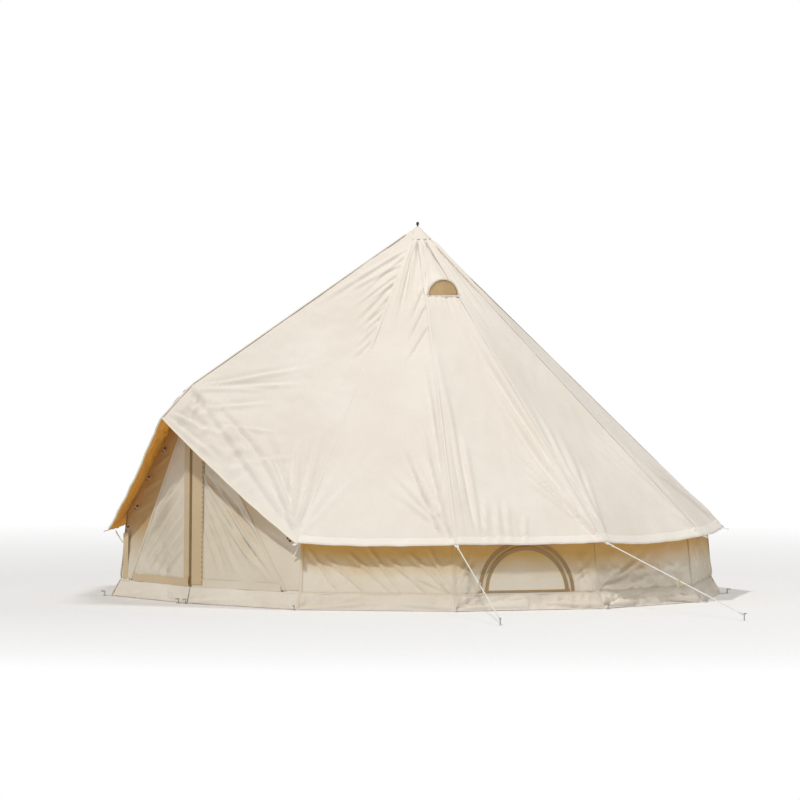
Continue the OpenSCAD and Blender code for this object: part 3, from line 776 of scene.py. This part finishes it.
def has_window(az):
    return from_front(az) == WINDOW_AZ


def window_clear(patch, u, v, radius):
    """0 over a window of the given radius and 1 away from it."""
    return smooth(radius, radius + 0.05, np.linalg.norm(patch.base(u, v) - patch.foot(0.008), axis=-1))


def slanting_folds(seed):
    """Seven long creases that lean the same way."""
    lines = []
    for i in range(7):
        start, slant = 0.01 + 0.135 * i, 0.24 + 0.04 * (i % 3)
        top = 0.22 + 0.10 * ((i * 2 + seed) % 3)
        lines.append(((min(start + slant, 0.985), 0.99), (start, top), 0.013, 0.011, 0.7))
    return lines


def wall_relief(az, seed):
    """Slack walls: slanting folds that run down towards one corner, and soft waves under the eave."""
    def relief(patch, u, v):
        x, y = patch.local(u, v)
        total = 0.003 * lattice(x * 1.6, y * 0.5, 0.16, seed) + 0.002 * lattice(x, y, 0.05, seed + 4)
        total = total - 0.003 * np.sin(math.pi * u) * np.sin(math.pi * np.clip(v, 0, 1))
        if az == 105:
            fan = ((0.05, 0.95), (0.5, 0.35), (0.9, 0.8), 4, 0.020, 0.010, seed + 1)
            total = total + patch.folds(u, v, [fan])
            total = total + 0.009 * crumple(x, y, 0.085, seed + 2) * smooth(0.5, 0.75, v)
        elif has_window(az):
            total = total + patch.folds(u, v, (), WINDOW_WALL_FOLDS, 0.014, 0.009)
            low = smooth(0.35, 0.7, v) * np.maximum(1 - smooth(0.05, 0.3, u), smooth(0.75, 0.95, u))
            total = total + 0.012 * crumple(x, y, 0.07, seed + 3) * low
        else:
            fan = ((0.985, 0.99), (0.45, 0.5), (0.85, 0.25), 4, 0.014, 0.008, seed + 1)
            total = total + patch.folds(u, v, [fan], slanting_folds(seed))
        total = limited(WALL_FOLDS * total, 0.017) * framed(u, v, 0.04, 0.04, 0.03)
        if has_window(az):
            clear = window_clear(patch, u, v, 0.365)
            total = total * clear - 0.001 * (1 - clear)
        return total
    return relief


def cut_window(flat, faces, patch, radius, low, cell=0.011):
    """Opens a half-round hole in a wall grid, with its points moved on to a clean edge."""
    q = flat - patch.foot(low)
    x, y = q @ patch.across, -(q @ patch.down)
    r = np.hypot(x, y)
    near = np.abs(q @ patch.out) < 0.1
    inside = near & (r < radius - cell) & (y > cell)
    ring = near & (np.abs(r - radius) <= cell) & (y > -cell)
    shift = (radius / np.maximum(r, 1e-6) - 1)[:, None]
    moved = flat + shift * (x[:, None] * patch.across - y[:, None] * patch.down)
    flat = np.where(ring[:, None], moved, flat)
    sill = near & (np.abs(y) <= cell) & (r < radius + cell)
    flat = np.where(sill[:, None], flat + y[:, None] * patch.down, flat)
    return flat, faces[~np.any(inside[faces], axis=1)]


def walls(patches):
    points, uv = patch_row_grid(patches, 72, 40)
    faces = grid_faces(points.shape[0], points.shape[1])
    flat = points.reshape(-1, 3)
    for az, patch in zip(PANELS, patches):
        if has_window(az):
            flat, faces = cut_window(flat, faces, patch, NET_R + 0.004, 0.02)
    used, faces_used = np.unique(faces, return_inverse=True)
    piece = cloth_mesh("wall_cloth", flat[used], faces_used.reshape(faces.shape), [wall_canvas, canvas_inner],
                       uv.reshape(-1, 2)[used])
    return place(piece, "tent", [f"wall_panel_{az:03d}" for az in PANELS])


wall_patches = {az: Patch(*panel_edges(wall_corner, az), wall_relief(az, 300 + 7 * i))
                for i, az in enumerate(PANELS)}
wall = walls(list(wall_patches.values()))


# ---------------------------------------------------------------- bottom band
def band_relief(seed, strength):
    """The bottom band is pegged down at its foot: it buckles between the pegs."""
    fans = [((0.0, 1.0), (0.20, 0.05), (0.75, 0.45), 7, 0.010, 0.009 * strength, seed + 3),
            ((1.0, 1.0), (0.80, 0.05), (0.45, 0.5), 4, 0.009, 0.007 * strength, seed + 4)]
    rough = smooth(1.0, 1.5, strength)

    def relief(patch, u, v):
        x, y = patch.local(u, v)
        near = np.maximum(1 - smooth(0.0, 0.45, u), smooth(0.6, 1.0, u)) * smooth(0.0, 0.3, v)
        total = 0.007 * np.sin(math.pi * v) * lattice(x * 1.3, y, 0.12, seed) + patch.folds(u, v, fans)
        total = total + 0.004 * strength * crumple(x, y * 0.7, 0.10, seed + 1) * smooth(0.1, 0.5, v)
        total = total + 0.005 * strength * crumple(x * 1.4, y, 0.075, seed + 2) * near
        total = total + 0.006 * rough * crumple(x, y * 0.8, 0.055, seed + 5) * smooth(0.1, 0.4, v)
        total = limited((1.2 + 0.9 * strength) * total, 0.013 + 0.005 * rough)
        return total * framed(u, v, 0.03, 0.12) * (1 - 0.7 * smooth(0.8, 1.0, v))
    return relief


def band_corner(az):
    return edge([polar(az, BAND_R, BAND_H), polar(az, BASE_R, BASE_H)])


def band_cloth(name, patches, cols, rows):
    return cloth_strip(name, patches, cols, rows, [band_canvas, canvas_inner], "tent",
                       ["bottom_band"], lift=0.0018)


def door_sill(side, s):
    """The band's part below one leaf, with a short seam at its outer end."""
    ends = [edge([door(0.002 * s, BAND_H), (0.004 * s, -SILL_D, BASE_H)]), band_corner(30 * s % 360)]
    patch = Patch(*ends[::s], band_relief(610 + s, 0.35))
    piece = band_cloth(f"door_sill_{side}", [patch], 70, 16)
    places = [(u if s > 0 else 1 - u, 0.0) for u in np.linspace(0.875, 0.995, 12)]
    ribbons(f"sill_seam_{side}", [seam_on(patch, places, 0.016, 0.0042)], band_canvas, "tent")


def wall_seams(patches):
    """Upright seams at the corners of the wall and the band, and the seam along the top of the band."""
    bands = []
    rows = np.linspace(0.0, 1.0, 14)
    for az in range(30, 331, 30):
        out = polar(az, 1.0, 0.0)
        for path in (polar(az, mix(WALL_R, BAND_R, rows) + 0.001, mix(WALL_H, BAND_H, rows)),
                     polar(az, mix(BAND_R, BASE_R, rows) + 0.0028, mix(BAND_H, 0.001, rows))):
            bands.append((path, np.cross(unit(path[-1] - path[0]), out), out, 0.020, 0.0016))
    places = [(u, 0.02) for u in np.linspace(0.0, 1.0, 30)]
    bands += [seam_on(patch, places, 0.014, 0.0030) for patch in patches]
    return ribbons("wall_seams", bands, wall_seam_canvas, "tent")


def bottom_band():
    strengths = {45: 0.9, 75: 1.5, 105: 1.5}
    patches = [Patch(*panel_edges(band_corner, az), band_relief(500 + 9 * i, strengths.get(az, 0.8)))
               for i, az in enumerate(PANELS)]
    band = band_cloth("bottom_band_cloth", patches, 84, 20)
    wall_seams(patches)
    foot = np.concatenate([p.point(np.linspace(0, 1, 30)[:-1], 0.985, 0.002) for p in patches])
    binding = joined("band_bound_edge", [tube_mesh(foot, 0.0035, 8)], webbing, "tent")


bottom_band()
for side_name, side_sign in SIDES.items():
    door_sill(side_name, side_sign)


# ---------------------------------------------------------------- windows and vents
def half_disc(where, radius, lift, rings=22, sectors=64, relief=0.0, seed=1):
    """A half-round sheet; where is the middle of its flat edge with its across, up and out."""
    foot, across, up, out = where
    r = np.linspace(0.0, radius, rings)[:, None]
    a = np.linspace(0.0, math.pi, sectors)[None, :]
    x, y = r * np.cos(a), r * np.sin(a)
    bulge = relief * lattice(x, y, 0.10, seed) * (1 - smooth(0.75, 1.0, r / radius)) * smooth(0.0, 0.05, y)
    points = foot + x[..., None] * across + y[..., None] * up + (lift + bulge)[..., None] * out
    return points, grid_faces(rings, sectors), np.stack([x, y], axis=-1)


def arc_path(where, radius, lift, trim=0.0):
    """Points along a half circle and the directions out from its middle; trim cuts off its ends."""
    foot, across, up, out = where
    a = np.linspace(trim, math.pi - trim, 60)[:, None]
    away = np.cos(a) * across + np.sin(a) * up
    return foot + radius * np.cos(a) * across + radius * np.sin(a) * up + lift * out, away


def arch(where, radius, lift, width, thickness=0.0016, trim=0.0):
    path, away = arc_path(where, radius, lift, trim)
    return path, away, where[3], width, thickness


def net_screen(name, where, radius, lift, nodes=("net_screens",), **disc):
    points, faces, uv = half_disc(where, radius, lift, **disc)
    return place(cloth_mesh(name, points, faces, [net], uv, thickness=NET), "tent", nodes)


def teeth(path, side, out, size=0.0022, pitch=0.007):
    """Zip teeth: one small block after another along a path."""
    t = np.linspace(0, 1, max(2, int(travelled(path)[-1] / pitch)))
    along = np.linspace(0, 1, len(path))
    spots, across, outs = (between(t, along, v) for v in (path, unit(np.broadcast_to(side, path.shape)),
                                                          unit(np.broadcast_to(out, path.shape))))
    box = np.array([[a, b, c] for a in (-1, 1) for b in (-1, 1) for c in (-1, 1)], float)
    faces = [[0, 1, 3, 2], [4, 6, 7, 5], [0, 4, 5, 1], [2, 3, 7, 6], [0, 2, 6, 4], [1, 5, 7, 3]]
    parts = []
    for p, d, s, o in zip(spots, unit(np.gradient(spots, axis=0)), unit(across), unit(outs)):
        points = p + box[:, :1] * s * size + box[:, 1:2] * d * size * 0.8 + box[:, 2:] * o * size * 0.45
        parts.append((points, box[:, :2] * size, faces))
    return parts


def window(side, s):
    """A window flap with its zip, and the net behind it."""
    az = int(WINDOW_AZ) if s > 0 else 360 - int(WINDOW_AZ)
    body = f"flap_{side}"
    patch = wall_patches[az]
    foot, across, up, out = where = (patch.foot(0.008), patch.across, -patch.down, patch.out)
    points, faces, uv = half_disc(where, FLAP_R - 0.016, 0.0062, relief=0.0022, seed=40 + az)
    flap = cloth_mesh(f"window_flap_cloth_{side}", points, faces, [wall_canvas, flap_inner], uv)
    place(flap, body, [f"window_flap_{side}"])
    line = np.linspace(-1, 1, 30)[:, None]
    hem_path = foot + line * across * (FLAP_R - 0.01) + up * 0.006 + out * 0.0068
    edging = [arch(where, FLAP_R - 0.032, 0.0070, 0.026, trim=0.02), (hem_path, up, out, 0.012, 0.0016)]
    binding = ribbons(f"window_flap_binding_{side}", edging, window_tape, body)
    tape = ribbons(f"window_zip_tape_{side}", [arch(where, FLAP_R + 0.013, 0.0022, 0.024)], window_tape,
                   "tent", ["window_zips"])
    teeth_parts = teeth(*arc_path(where, FLAP_R + 0.005, 0.0038), out)
    coil = joined(f"window_zip_teeth_{side}", teeth_parts, brass, "tent")
    low = (foot + up * 0.0125, across, up, out)
    screen = net_screen(f"window_net_{side}", low, NET_R + 0.004, -0.0035, rings=26, relief=0.001, seed=60)
    rim_tube = tube_mesh(arc_path(low, NET_R + 0.006, -0.0005)[0], 0.0028, 8)
    rim = joined(f"window_rim_{side}", [rim_tube], hem_canvas, "tent")


def vent(side, s, rows=22, cols=44, length=0.31):
    """A half-round net under a small hood of canvas that runs back into the roof."""
    az = WINDOW_AZ if s > 0 else 360 - WINDOW_AZ
    out, across = polar(az, 1.0, 0.0), polar(az + 90, 1.0, 0.0)
    face_r = (PEAK_H - VENT_H) / SIDE_SLOPE + 0.008
    foot = out * face_r + VENT_H * UP
    t = np.linspace(0, 1, rows)[:, None]
    a = np.linspace(-0.12, math.pi + 0.12, cols)[None, :]
    back = length * t + 0 * a
    r = (VENT_R + 0.008) * (1 - t) ** 0.8
    x = r * np.cos(a)
    z = foot[2] + r * np.sin(a) * (1 - 0.15 * t) + back * SIDE_SLOPE * smooth(0, 1, t) ** 0.5
    z = np.maximum(z, foot[2] + back * SIDE_SLOPE - 0.006)
    wave = 0.002 * lattice(x * 2, back * 1.2, 0.05, 77)
    points = x[..., None] * across + (face_r - back + wave)[..., None] * out + z[..., None] * UP
    hood = cloth_mesh(f"vent_hood_cloth_{side}", points, grid_faces(rows, cols), [canvas, canvas_inner],
                      np.stack([np.arctan2(z - foot[2], x) * 0.1, back], axis=-1))
    place(hood, "tent", ["vent_hoods"])
    where = (foot, across, UP, out)
    screen = net_screen(f"vent_net_{side}", where, VENT_R, -0.004, rings=12, sectors=40)
    line = np.linspace(-1, 1, 12)[:, None]
    lip = [arch(where, VENT_R + 0.003, 0.0005, 0.009, 0.002),
           (foot + line * across * (VENT_R + 0.008) + out * 0.002 - UP * 0.004, UP, out, 0.014, 0.002)]
    rim = ribbons(f"vent_binding_{side}", lip, hem_canvas, "tent")


for add_opening in (window, vent):
    for side_name, side_sign in SIDES.items():
        add_opening(side_name, side_sign)


# ---------------------------------------------------------------- doorway
LEAF_LOW_X = LEAF_FOOT_X - (LEAF_Z - BAND_H) * LEG_SLOPE    # the leaf's outer corner
LEAF_FOLDS = {  # long folds that fan out from under the peak to the lower outer corner
    "left": [((0.02, 0.86), (0.78, 0.36)), ((0.13, 0.90), (0.90, 0.43)), ((0.26, 0.93), (0.97, 0.52)),
             ((0.40, 0.94), (0.97, 0.62)), ((0.55, 0.95), (0.97, 0.72)), ((0.05, 0.78), (0.55, 0.44))],
    "right": [((0.25, 0.34), (0.98, 0.97)), ((0.36, 0.38), (0.80, 0.95)), ((0.29, 0.52), (0.55, 0.93)),
              ((0.60, 0.42), (0.99, 0.90)), ((0.50, 0.60), (0.90, 0.97)), ((0.22, 0.64), (0.36, 0.95)),
              ((0.72, 0.52), (0.97, 0.84))],
}


def gable_relief(seed, flip):
    def relief(patch, u, v):
        x, y = patch.local(u, v)
        total = 0.004 * lattice(x * 0.8, y, 0.14, seed) + 0.0015 * lattice(x, y, 0.05, seed + 1)
        for i in range(4):
            a, b = (0.1, 0.30 + 0.13 * i), (0.9, 0.48 + 0.13 * i)
            total = total + patch.crease(u, v, mirror(a, flip), mirror(b, flip), 0.018, 0.006)
        return total * framed(u, v, 0.08, 0.03, 0.03) - 0.001
    return relief


def leaf_relief(seed, side, height):
    def relief(patch, u, v):
        x, y = patch.local(u, v)
        total = 0.004 * lattice(x, y * 0.6, 0.15, seed) + 0.0015 * lattice(x, y, 0.05, seed + 1)
        total = total + patch.folds(u, v, (), LEAF_FOLDS[side], 0.018, height)
        zip_side = 1 - u if side == "left" else u
        total = DOOR_FOLDS * total * framed(u, v, 0.05, 0.05, 0.05)
        return total * smooth(0.10, 0.22, zip_side * (0.2 + v)) - 0.0012
    return relief


def hinge_cloth(side, s):
    """The strip of cloth where a leaf is sewn to the fixed canvas."""
    z = np.linspace(BAND_H + 0.001, ZIP_H, 60)[:, None]
    across = np.linspace(0.012, -0.010, 9)[None, :]
    hinge_x = np.interp(z, [BAND_H, ZIP_H], [LEAF_FOOT_X, LEAF_HEAD_X]) + 0.002
    strip = door((hinge_x + across) * s, z + 0 * across, 0.0006)
    hinge = cloth_mesh(f"door_hinge_cloth_{side}", strip, grid_faces(60, 9)[:, ::-s], [door_canvas],
                       np.stack([across + 0 * z, z + 0 * across], axis=-1), thickness=0.001)
    at = door(float(np.interp(0.6, [LEAF_Z, ZIP_H], [LEAF_LOW_X, LEAF_HEAD_X]) + 0.002) * s, 0.6)
    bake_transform(hinge)
    return hinge


def doorway(side, s, gap=0.004):
    """One door leaf with its border and hinge cloth, and the fixed canvas beside it."""
    flip = s < 0
    body = f"leaf_{side}"
    ends = [edge([door(0.001 * s, ZIP_H), door(0.001 * s, LEAF_Z)]),
            edge([door(LEAF_HEAD_X * s, ZIP_H), door(LEAF_LOW_X * s, LEAF_Z)])]
    leaf = Patch(*ends[::s], leaf_relief(700 + s, side, 0.011 if flip else 0.010))
    cloth = cloth_strip(f"door_leaf_cloth_{side}", [leaf], 60, 90, [door_canvas, flap_inner], body,
                        [f"door_leaf_{side}"])
    ends = [edge([door(0.0005 * s, ZIP_H + gap), door((LEAF_HEAD_X + gap) * s, ZIP_H + gap),
                  door((LEAF_FOOT_X + gap) * s, BAND_H)], (0, 0.03, 1)),
            edge([(0.0005 * s, -GABLE_D + 0.005, GABLE_H - 0.020), polar(30 * s, WALL_R, WALL_H - 0.002),
                  polar(30 * s, BAND_R, BAND_H)], (0, 0.745, 1))]
    gable = Patch(*ends[::s], gable_relief(720 + s, flip))
    fixed_cloth = cloth_strip(f"gable_cloth_{side}", [gable], 36, 80, [gable_canvas[side], flap_inner], "tent",
                              [f"gable_{side}"])
    if flip:
        # painted shade: a tan strip laid on the left gable only, near its outer corner, where that cloth lies
        # in shade
        z = np.linspace(BAND_H + 0.004, 0.42, 20)
        ribbons("gable_painted_shade_strip_left", [(door(-0.915 + 0 * z, z, 0.0042), (1, 0, 0), FRONT, 0.055, 0.0014)],
                tan_canvas, "tent")
    lower = [(u, 0.983) for u in np.linspace(0.02, 0.98, 50)]
    border = ribbons(f"leaf_border_{side}", [seam_on(leaf, lower, 0.052, 0.0042)],
                     tan_canvas if flip else door_canvas, body)
    hinge = hinge_cloth(side, s)


def zip_strip(name, s, near, far, lift, body, nodes=(), rows=90, cols=14):
    """A tan strip beside the zip, from near to far from the middle, cut along the leaf's edge at its top."""
    v, u = np.linspace(0, 1, rows)[:, None], np.linspace(0, 1, cols)[None, :]
    height = mix(ZIP_H - 0.014, LEAF_Z + 0.006, v)
    limit = np.minimum(far, LEAF_HEAD_X - 0.008 + (ZIP_H - 0.012 - height) * 0.60)
    x = near + u * (limit - near)
    wave = 0.0012 * lattice(x * 0.6, height, 0.12, 91) * np.sin(math.pi * u)
    points = door(x * s, height + 0 * u, lift + wave)
    piece = cloth_mesh(name, points, grid_faces(rows, cols)[:, ::s], [facing_canvas],
                       np.stack([x, height + 0 * u], axis=-1))
    return place(piece, body, nodes)


def zip_and_flap():
    """The zip's two tapes with their teeth, the tan facing on the left, the tan storm flap on the right."""
    z = np.linspace(LEAF_Z + 0.004, ZIP_H - 0.003, 50)
    outs = {side: unit(np.array([DOOR_FOLD * s, -1.0, 0.0])) for side, s in SIDES.items()}
    for side, s in SIDES.items():
        across = np.cross(UP, outs[side])
        body = f"leaf_{side}"
        tape = (door(0.009 * s + 0 * z, z, 0.0014), -across, outs[side], 0.016, 0.0016)
        ribbons(f"zip_tape_cloth_{side}", [tape], zip_band, body, [f"zip_tape_{side}"])
        ridge = door(0.0032 * s + 0 * z, z, 0.0026)
        joined(f"zip_teeth_{side}", teeth(ridge, across, outs[side]), brass, body)
    zip_strip("zip_facing_left", -1, 0.020, 0.092, 0.0022, "leaf_left")
    flap = zip_strip("storm_flap_cloth", 1, 0.013, 0.114, 0.0042, "leaf_right", ["storm_flap"])
    dashes = []
    for low in np.arange(LEAF_Z + 0.02, ZIP_H - 0.20, 0.033):
        line = np.linspace(low, low + 0.017, 4)
        path = door(0.106 + 0 * line, line, 0.0050)
        dashes.append((path, np.cross(UP, outs["right"]), outs["right"], 0.0035, 0.0014))
    stitched = ribbons("storm_flap_stitches", dashes, zip_band, "leaf_right")


for side_name, side_sign in SIDES.items():
    doorway(side_name, side_sign)
zip_and_flap()


# ---------------------------------------------------------------- webbing, pegs and ties
def loop_path(start, end, rise, count=9):
    """A closed-looking webbing loop: out along the top layer, round its end, and back below."""
    along, size, bend_at = unit(end - start), np.linalg.norm(rise), mix(start, end, 0.86)
    top = [mix(start, end, t) + rise for t in np.linspace(0, 0.86, count)]
    angles = np.linspace(math.pi / 2, -math.pi / 2, 7)[1:-1]
    bend = [bend_at + along * np.cos(t) * size * 1.6 + unit(rise) * np.sin(t) * size for t in angles]
    low = [mix(end, start, t) - rise for t in np.linspace(0.14, 1.0, count)]
    return np.array(top + bend + low)


def eave_webbing(tilt=math.radians(16)):
    """A webbing loop at each corner of the eave, where a guy rope is tied."""
    bands = []
    for az in np.arange(1, 12) * STEP:
        out, across = polar(az, 1.0, 0.0), polar(az + 90, 1.0, 0.0)
        along = out * math.cos(tilt) - UP * math.sin(tilt)
        up = out * math.sin(tilt) + UP * math.cos(tilt)
        start = polar(az, EAVE_R - 0.012, EAVE_H - 0.0035)
        path = loop_path(start, start + along * 0.054, up * 0.0018)
        bands.append((path, across, np.cross(unit(np.gradient(path, axis=0)), across), 0.026, 0.0014))
    ribbons("eave_webbing", bands, webbing, "tent", ["eave_tabs"])


def ground_webbing():
    """A tab with a ring at each corner of the foot and on both sides of the door's middle."""
    bands, eyes = [], []
    spots = [(polar(az, BASE_R - 0.006, 0.0016), polar(az, 1.0, 0.0)) for az in np.arange(1, 12) * STEP]
    spots += [(np.array([0.04 * s, -SILL_D + 0.006, 0.0016]), FRONT) for s in SIDES.values()]
    for start, out in spots:
        across = np.cross(UP, out)
        bands.append((start + out * np.linspace(0, 0.041, 8)[:, None], across, UP, 0.028, 0.0026))
        eyes.append(tube_mesh(start + out * 0.052 + circle(25, out, across, 0.0095) + UP * 0.002, 0.0018, 8))
    ribbons("ground_webbing", bands, webbing, "tent", ["ground_tabs"])
    joined("ground_tab_rings", eyes, peg_metal, "tent")


def corner_tie(s):
    """A webbing tie from the eave's corner down to the fixed canvas beside the door."""
    start, end = polar(30 * s, EAVE_R - 0.045, EAVE_H - 0.014), door(0.925 * s, 0.34, 0.004)
    t = np.linspace(0, 1, 16)[:, None]
    path = mix(start, end, t) - 0.006 * UP * np.sin(math.pi * t)
    return path, UP, np.cross(unit(end - start), UP) * s, 0.017, 0.0018


def toggle_loops():
    """A short loop of cord round each toggle, sewn to the gable."""
    loops = []
    for s in SIDES.values():
        along = unit(np.array([0.032 * s, 0.0, -0.024]))
        for x, z in ((0.38, 1.0), (0.60, 0.80), (0.76, 0.60), (0.89, 0.455)):
            ring = door(x * s, z, 0.008) + circle(21, FRONT, np.cross(along, FRONT), 0.0076)
            loops += [tube_mesh(ring + along * shift, 0.0015, 6) for shift in (-0.003, 0.003)]
    joined("toggle_loops", loops, rope_cotton, "tent")


eave_webbing()
ground_webbing()
ties = [corner_tie(s) for s in SIDES.values()]
ribbons("corner_webbing_ties", ties, webbing, "tent", ["corner_ties"])
toggle_loops()


# ---------------------------------------------------------------- groundsheet
def front_reach(az, corner):
    """Distance to the groundsheet's edge on the two sides that meet behind the sill."""
    a = np.radians(from_front(az))
    tip = ZIP_D - 0.02
    slope = (corner * math.cos(math.radians(STEP)) - tip) / (corner * math.sin(math.radians(STEP)))
    return tip / (np.cos(a) - slope * np.sin(a))


def groundsheet(rings=40):
    """A twelve-sided sheet of coated fabric with welded seams, a little wrinkled."""
    az, t = np.arange(0, 360, 3.0)[None, :], np.linspace(0.0, 1.0, rings)[:, None]
    corner = BAND_R - 0.025
    reach = np.where(from_front(az) < STEP, front_reach(az, corner), corner * straight_side(az))
    points = polar(az, reach * t, 0.0)
    x, y = points[..., 0], points[..., 1]
    rise = 0.0016 + 0.0010 * crumple(x, y, 0.35, 801) * (1 - smooth(0.93, 1.0, t))
    points[..., 2] = np.maximum(rise, 0.0008)
    piece = cloth_mesh("groundsheet_cloth", points, grid_faces(rings, az.size, around=True), [groundsheet_pvc],
                       points[..., :2], thickness=0.0007)
    place(piece, "tent", ["groundsheet"])
    line = np.linspace(-1.62, 1.62, 40)
    welds = [(np.stack(np.broadcast_arrays(line, y0, 0.0032), axis=-1), (0, 1, 0), UP, 0.025, 0.0008)
             for y0 in (0.75, -0.75)]
    weld = ribbons("groundsheet_welds", welds, groundsheet_pvc, "tent")


groundsheet()


# ---------------------------------------------------------------- materials of the CAD nodes that stay
FINISHES = (
    (galvanised, ("pole_lower", "pole_upper", "frame_legs_lower", "frame_legs_upper")),
    (dark_plastic, ("pole_foot", "pole_spike", "frame_joiner", "frame_feet")),
    (peg_metal, ("ground_pegs", "guy_peg_060", "guy_peg_090")),
    (runner_wood, ("guy_runner_060", "guy_runner_090")),
    (brass, ("zip_slider",)),
    (toggle_wood, ("door_toggles",)),
)
for finish, node_names in FINISHES:
    for node_name in node_names:
        kept_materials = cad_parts[node_name].data.materials
        kept_materials.clear()
        kept_materials.append(finish)


# ---------------------------------------------------------------- stage and light
def add_stage(radius=9.5, z=-0.0008, sectors=64):
    """A pale floor that fades out into the background, so that no horizon shows."""
    made, tree, shader, spot = start_material("floor", roughness=0.9)
    shader.inputs["Base Color"].default_value = (0.86, 0.86, 0.86, 1)
    far = node(tree, "ShaderNodeVectorMath", {0: spot}, operation="LENGTH").outputs["Value"]
    mix_shaders(tree, ramp(tree, far, 3.2, 9.0), shader, node(tree, "ShaderNodeBsdfTransparent"))
    ring = polar(np.arange(sectors) * 360 / sectors + 90, radius, z)
    faces = [[i, (i + 1) % sectors, sectors] for i in range(sectors)]
    add_mesh("floor", np.concatenate([ring, [[0, 0, z]]]), faces, [made])


def add_lamp(kind, name, az, el, distance, energy, colour, size):
    data = bpy.data.lights.new(name, kind)
    data.energy, data.color = energy, colour
    if kind == "SUN":
        data.angle = math.radians(size)
    else:
        data.shape, data.size = "DISK", size
    lamp = bpy.data.objects.new(name, data)
    lamp.location = towards(az, el) * distance + Vector((0, 0, 1))
    lamp.rotation_euler = towards(az, el).to_track_quat("Z", "Y").to_euler()
    bpy.context.collection.objects.link(lamp)


def add_world(strength):
    """A white background that gives less light than it shows."""
    world = bpy.data.worlds.new("studio")
    world.use_nodes = True
    tree = world.node_tree
    shown = node(tree, "ShaderNodeLightPath").outputs["Is Camera Ray"]
    background = tree.nodes["Background"]
    background.inputs[0].default_value = (1.0, 1.0, 1.0, 1.0)
    tree.links.new(ramp(tree, shown, 0.0, 1.0, strength, 1.0), background.inputs[1])
    bpy.context.scene.world = world


add_stage()
bpy.context.scene.view_settings.view_transform = "Standard"
add_world(0.37)
add_lamp("SUN", "key", 20, 52, 30, 1.40, (1.0, 0.985, 0.96), 3.0)
add_lamp("AREA", "side_fill", 112, 72, 12, 520, (1.0, 0.99, 0.97), 4.0)
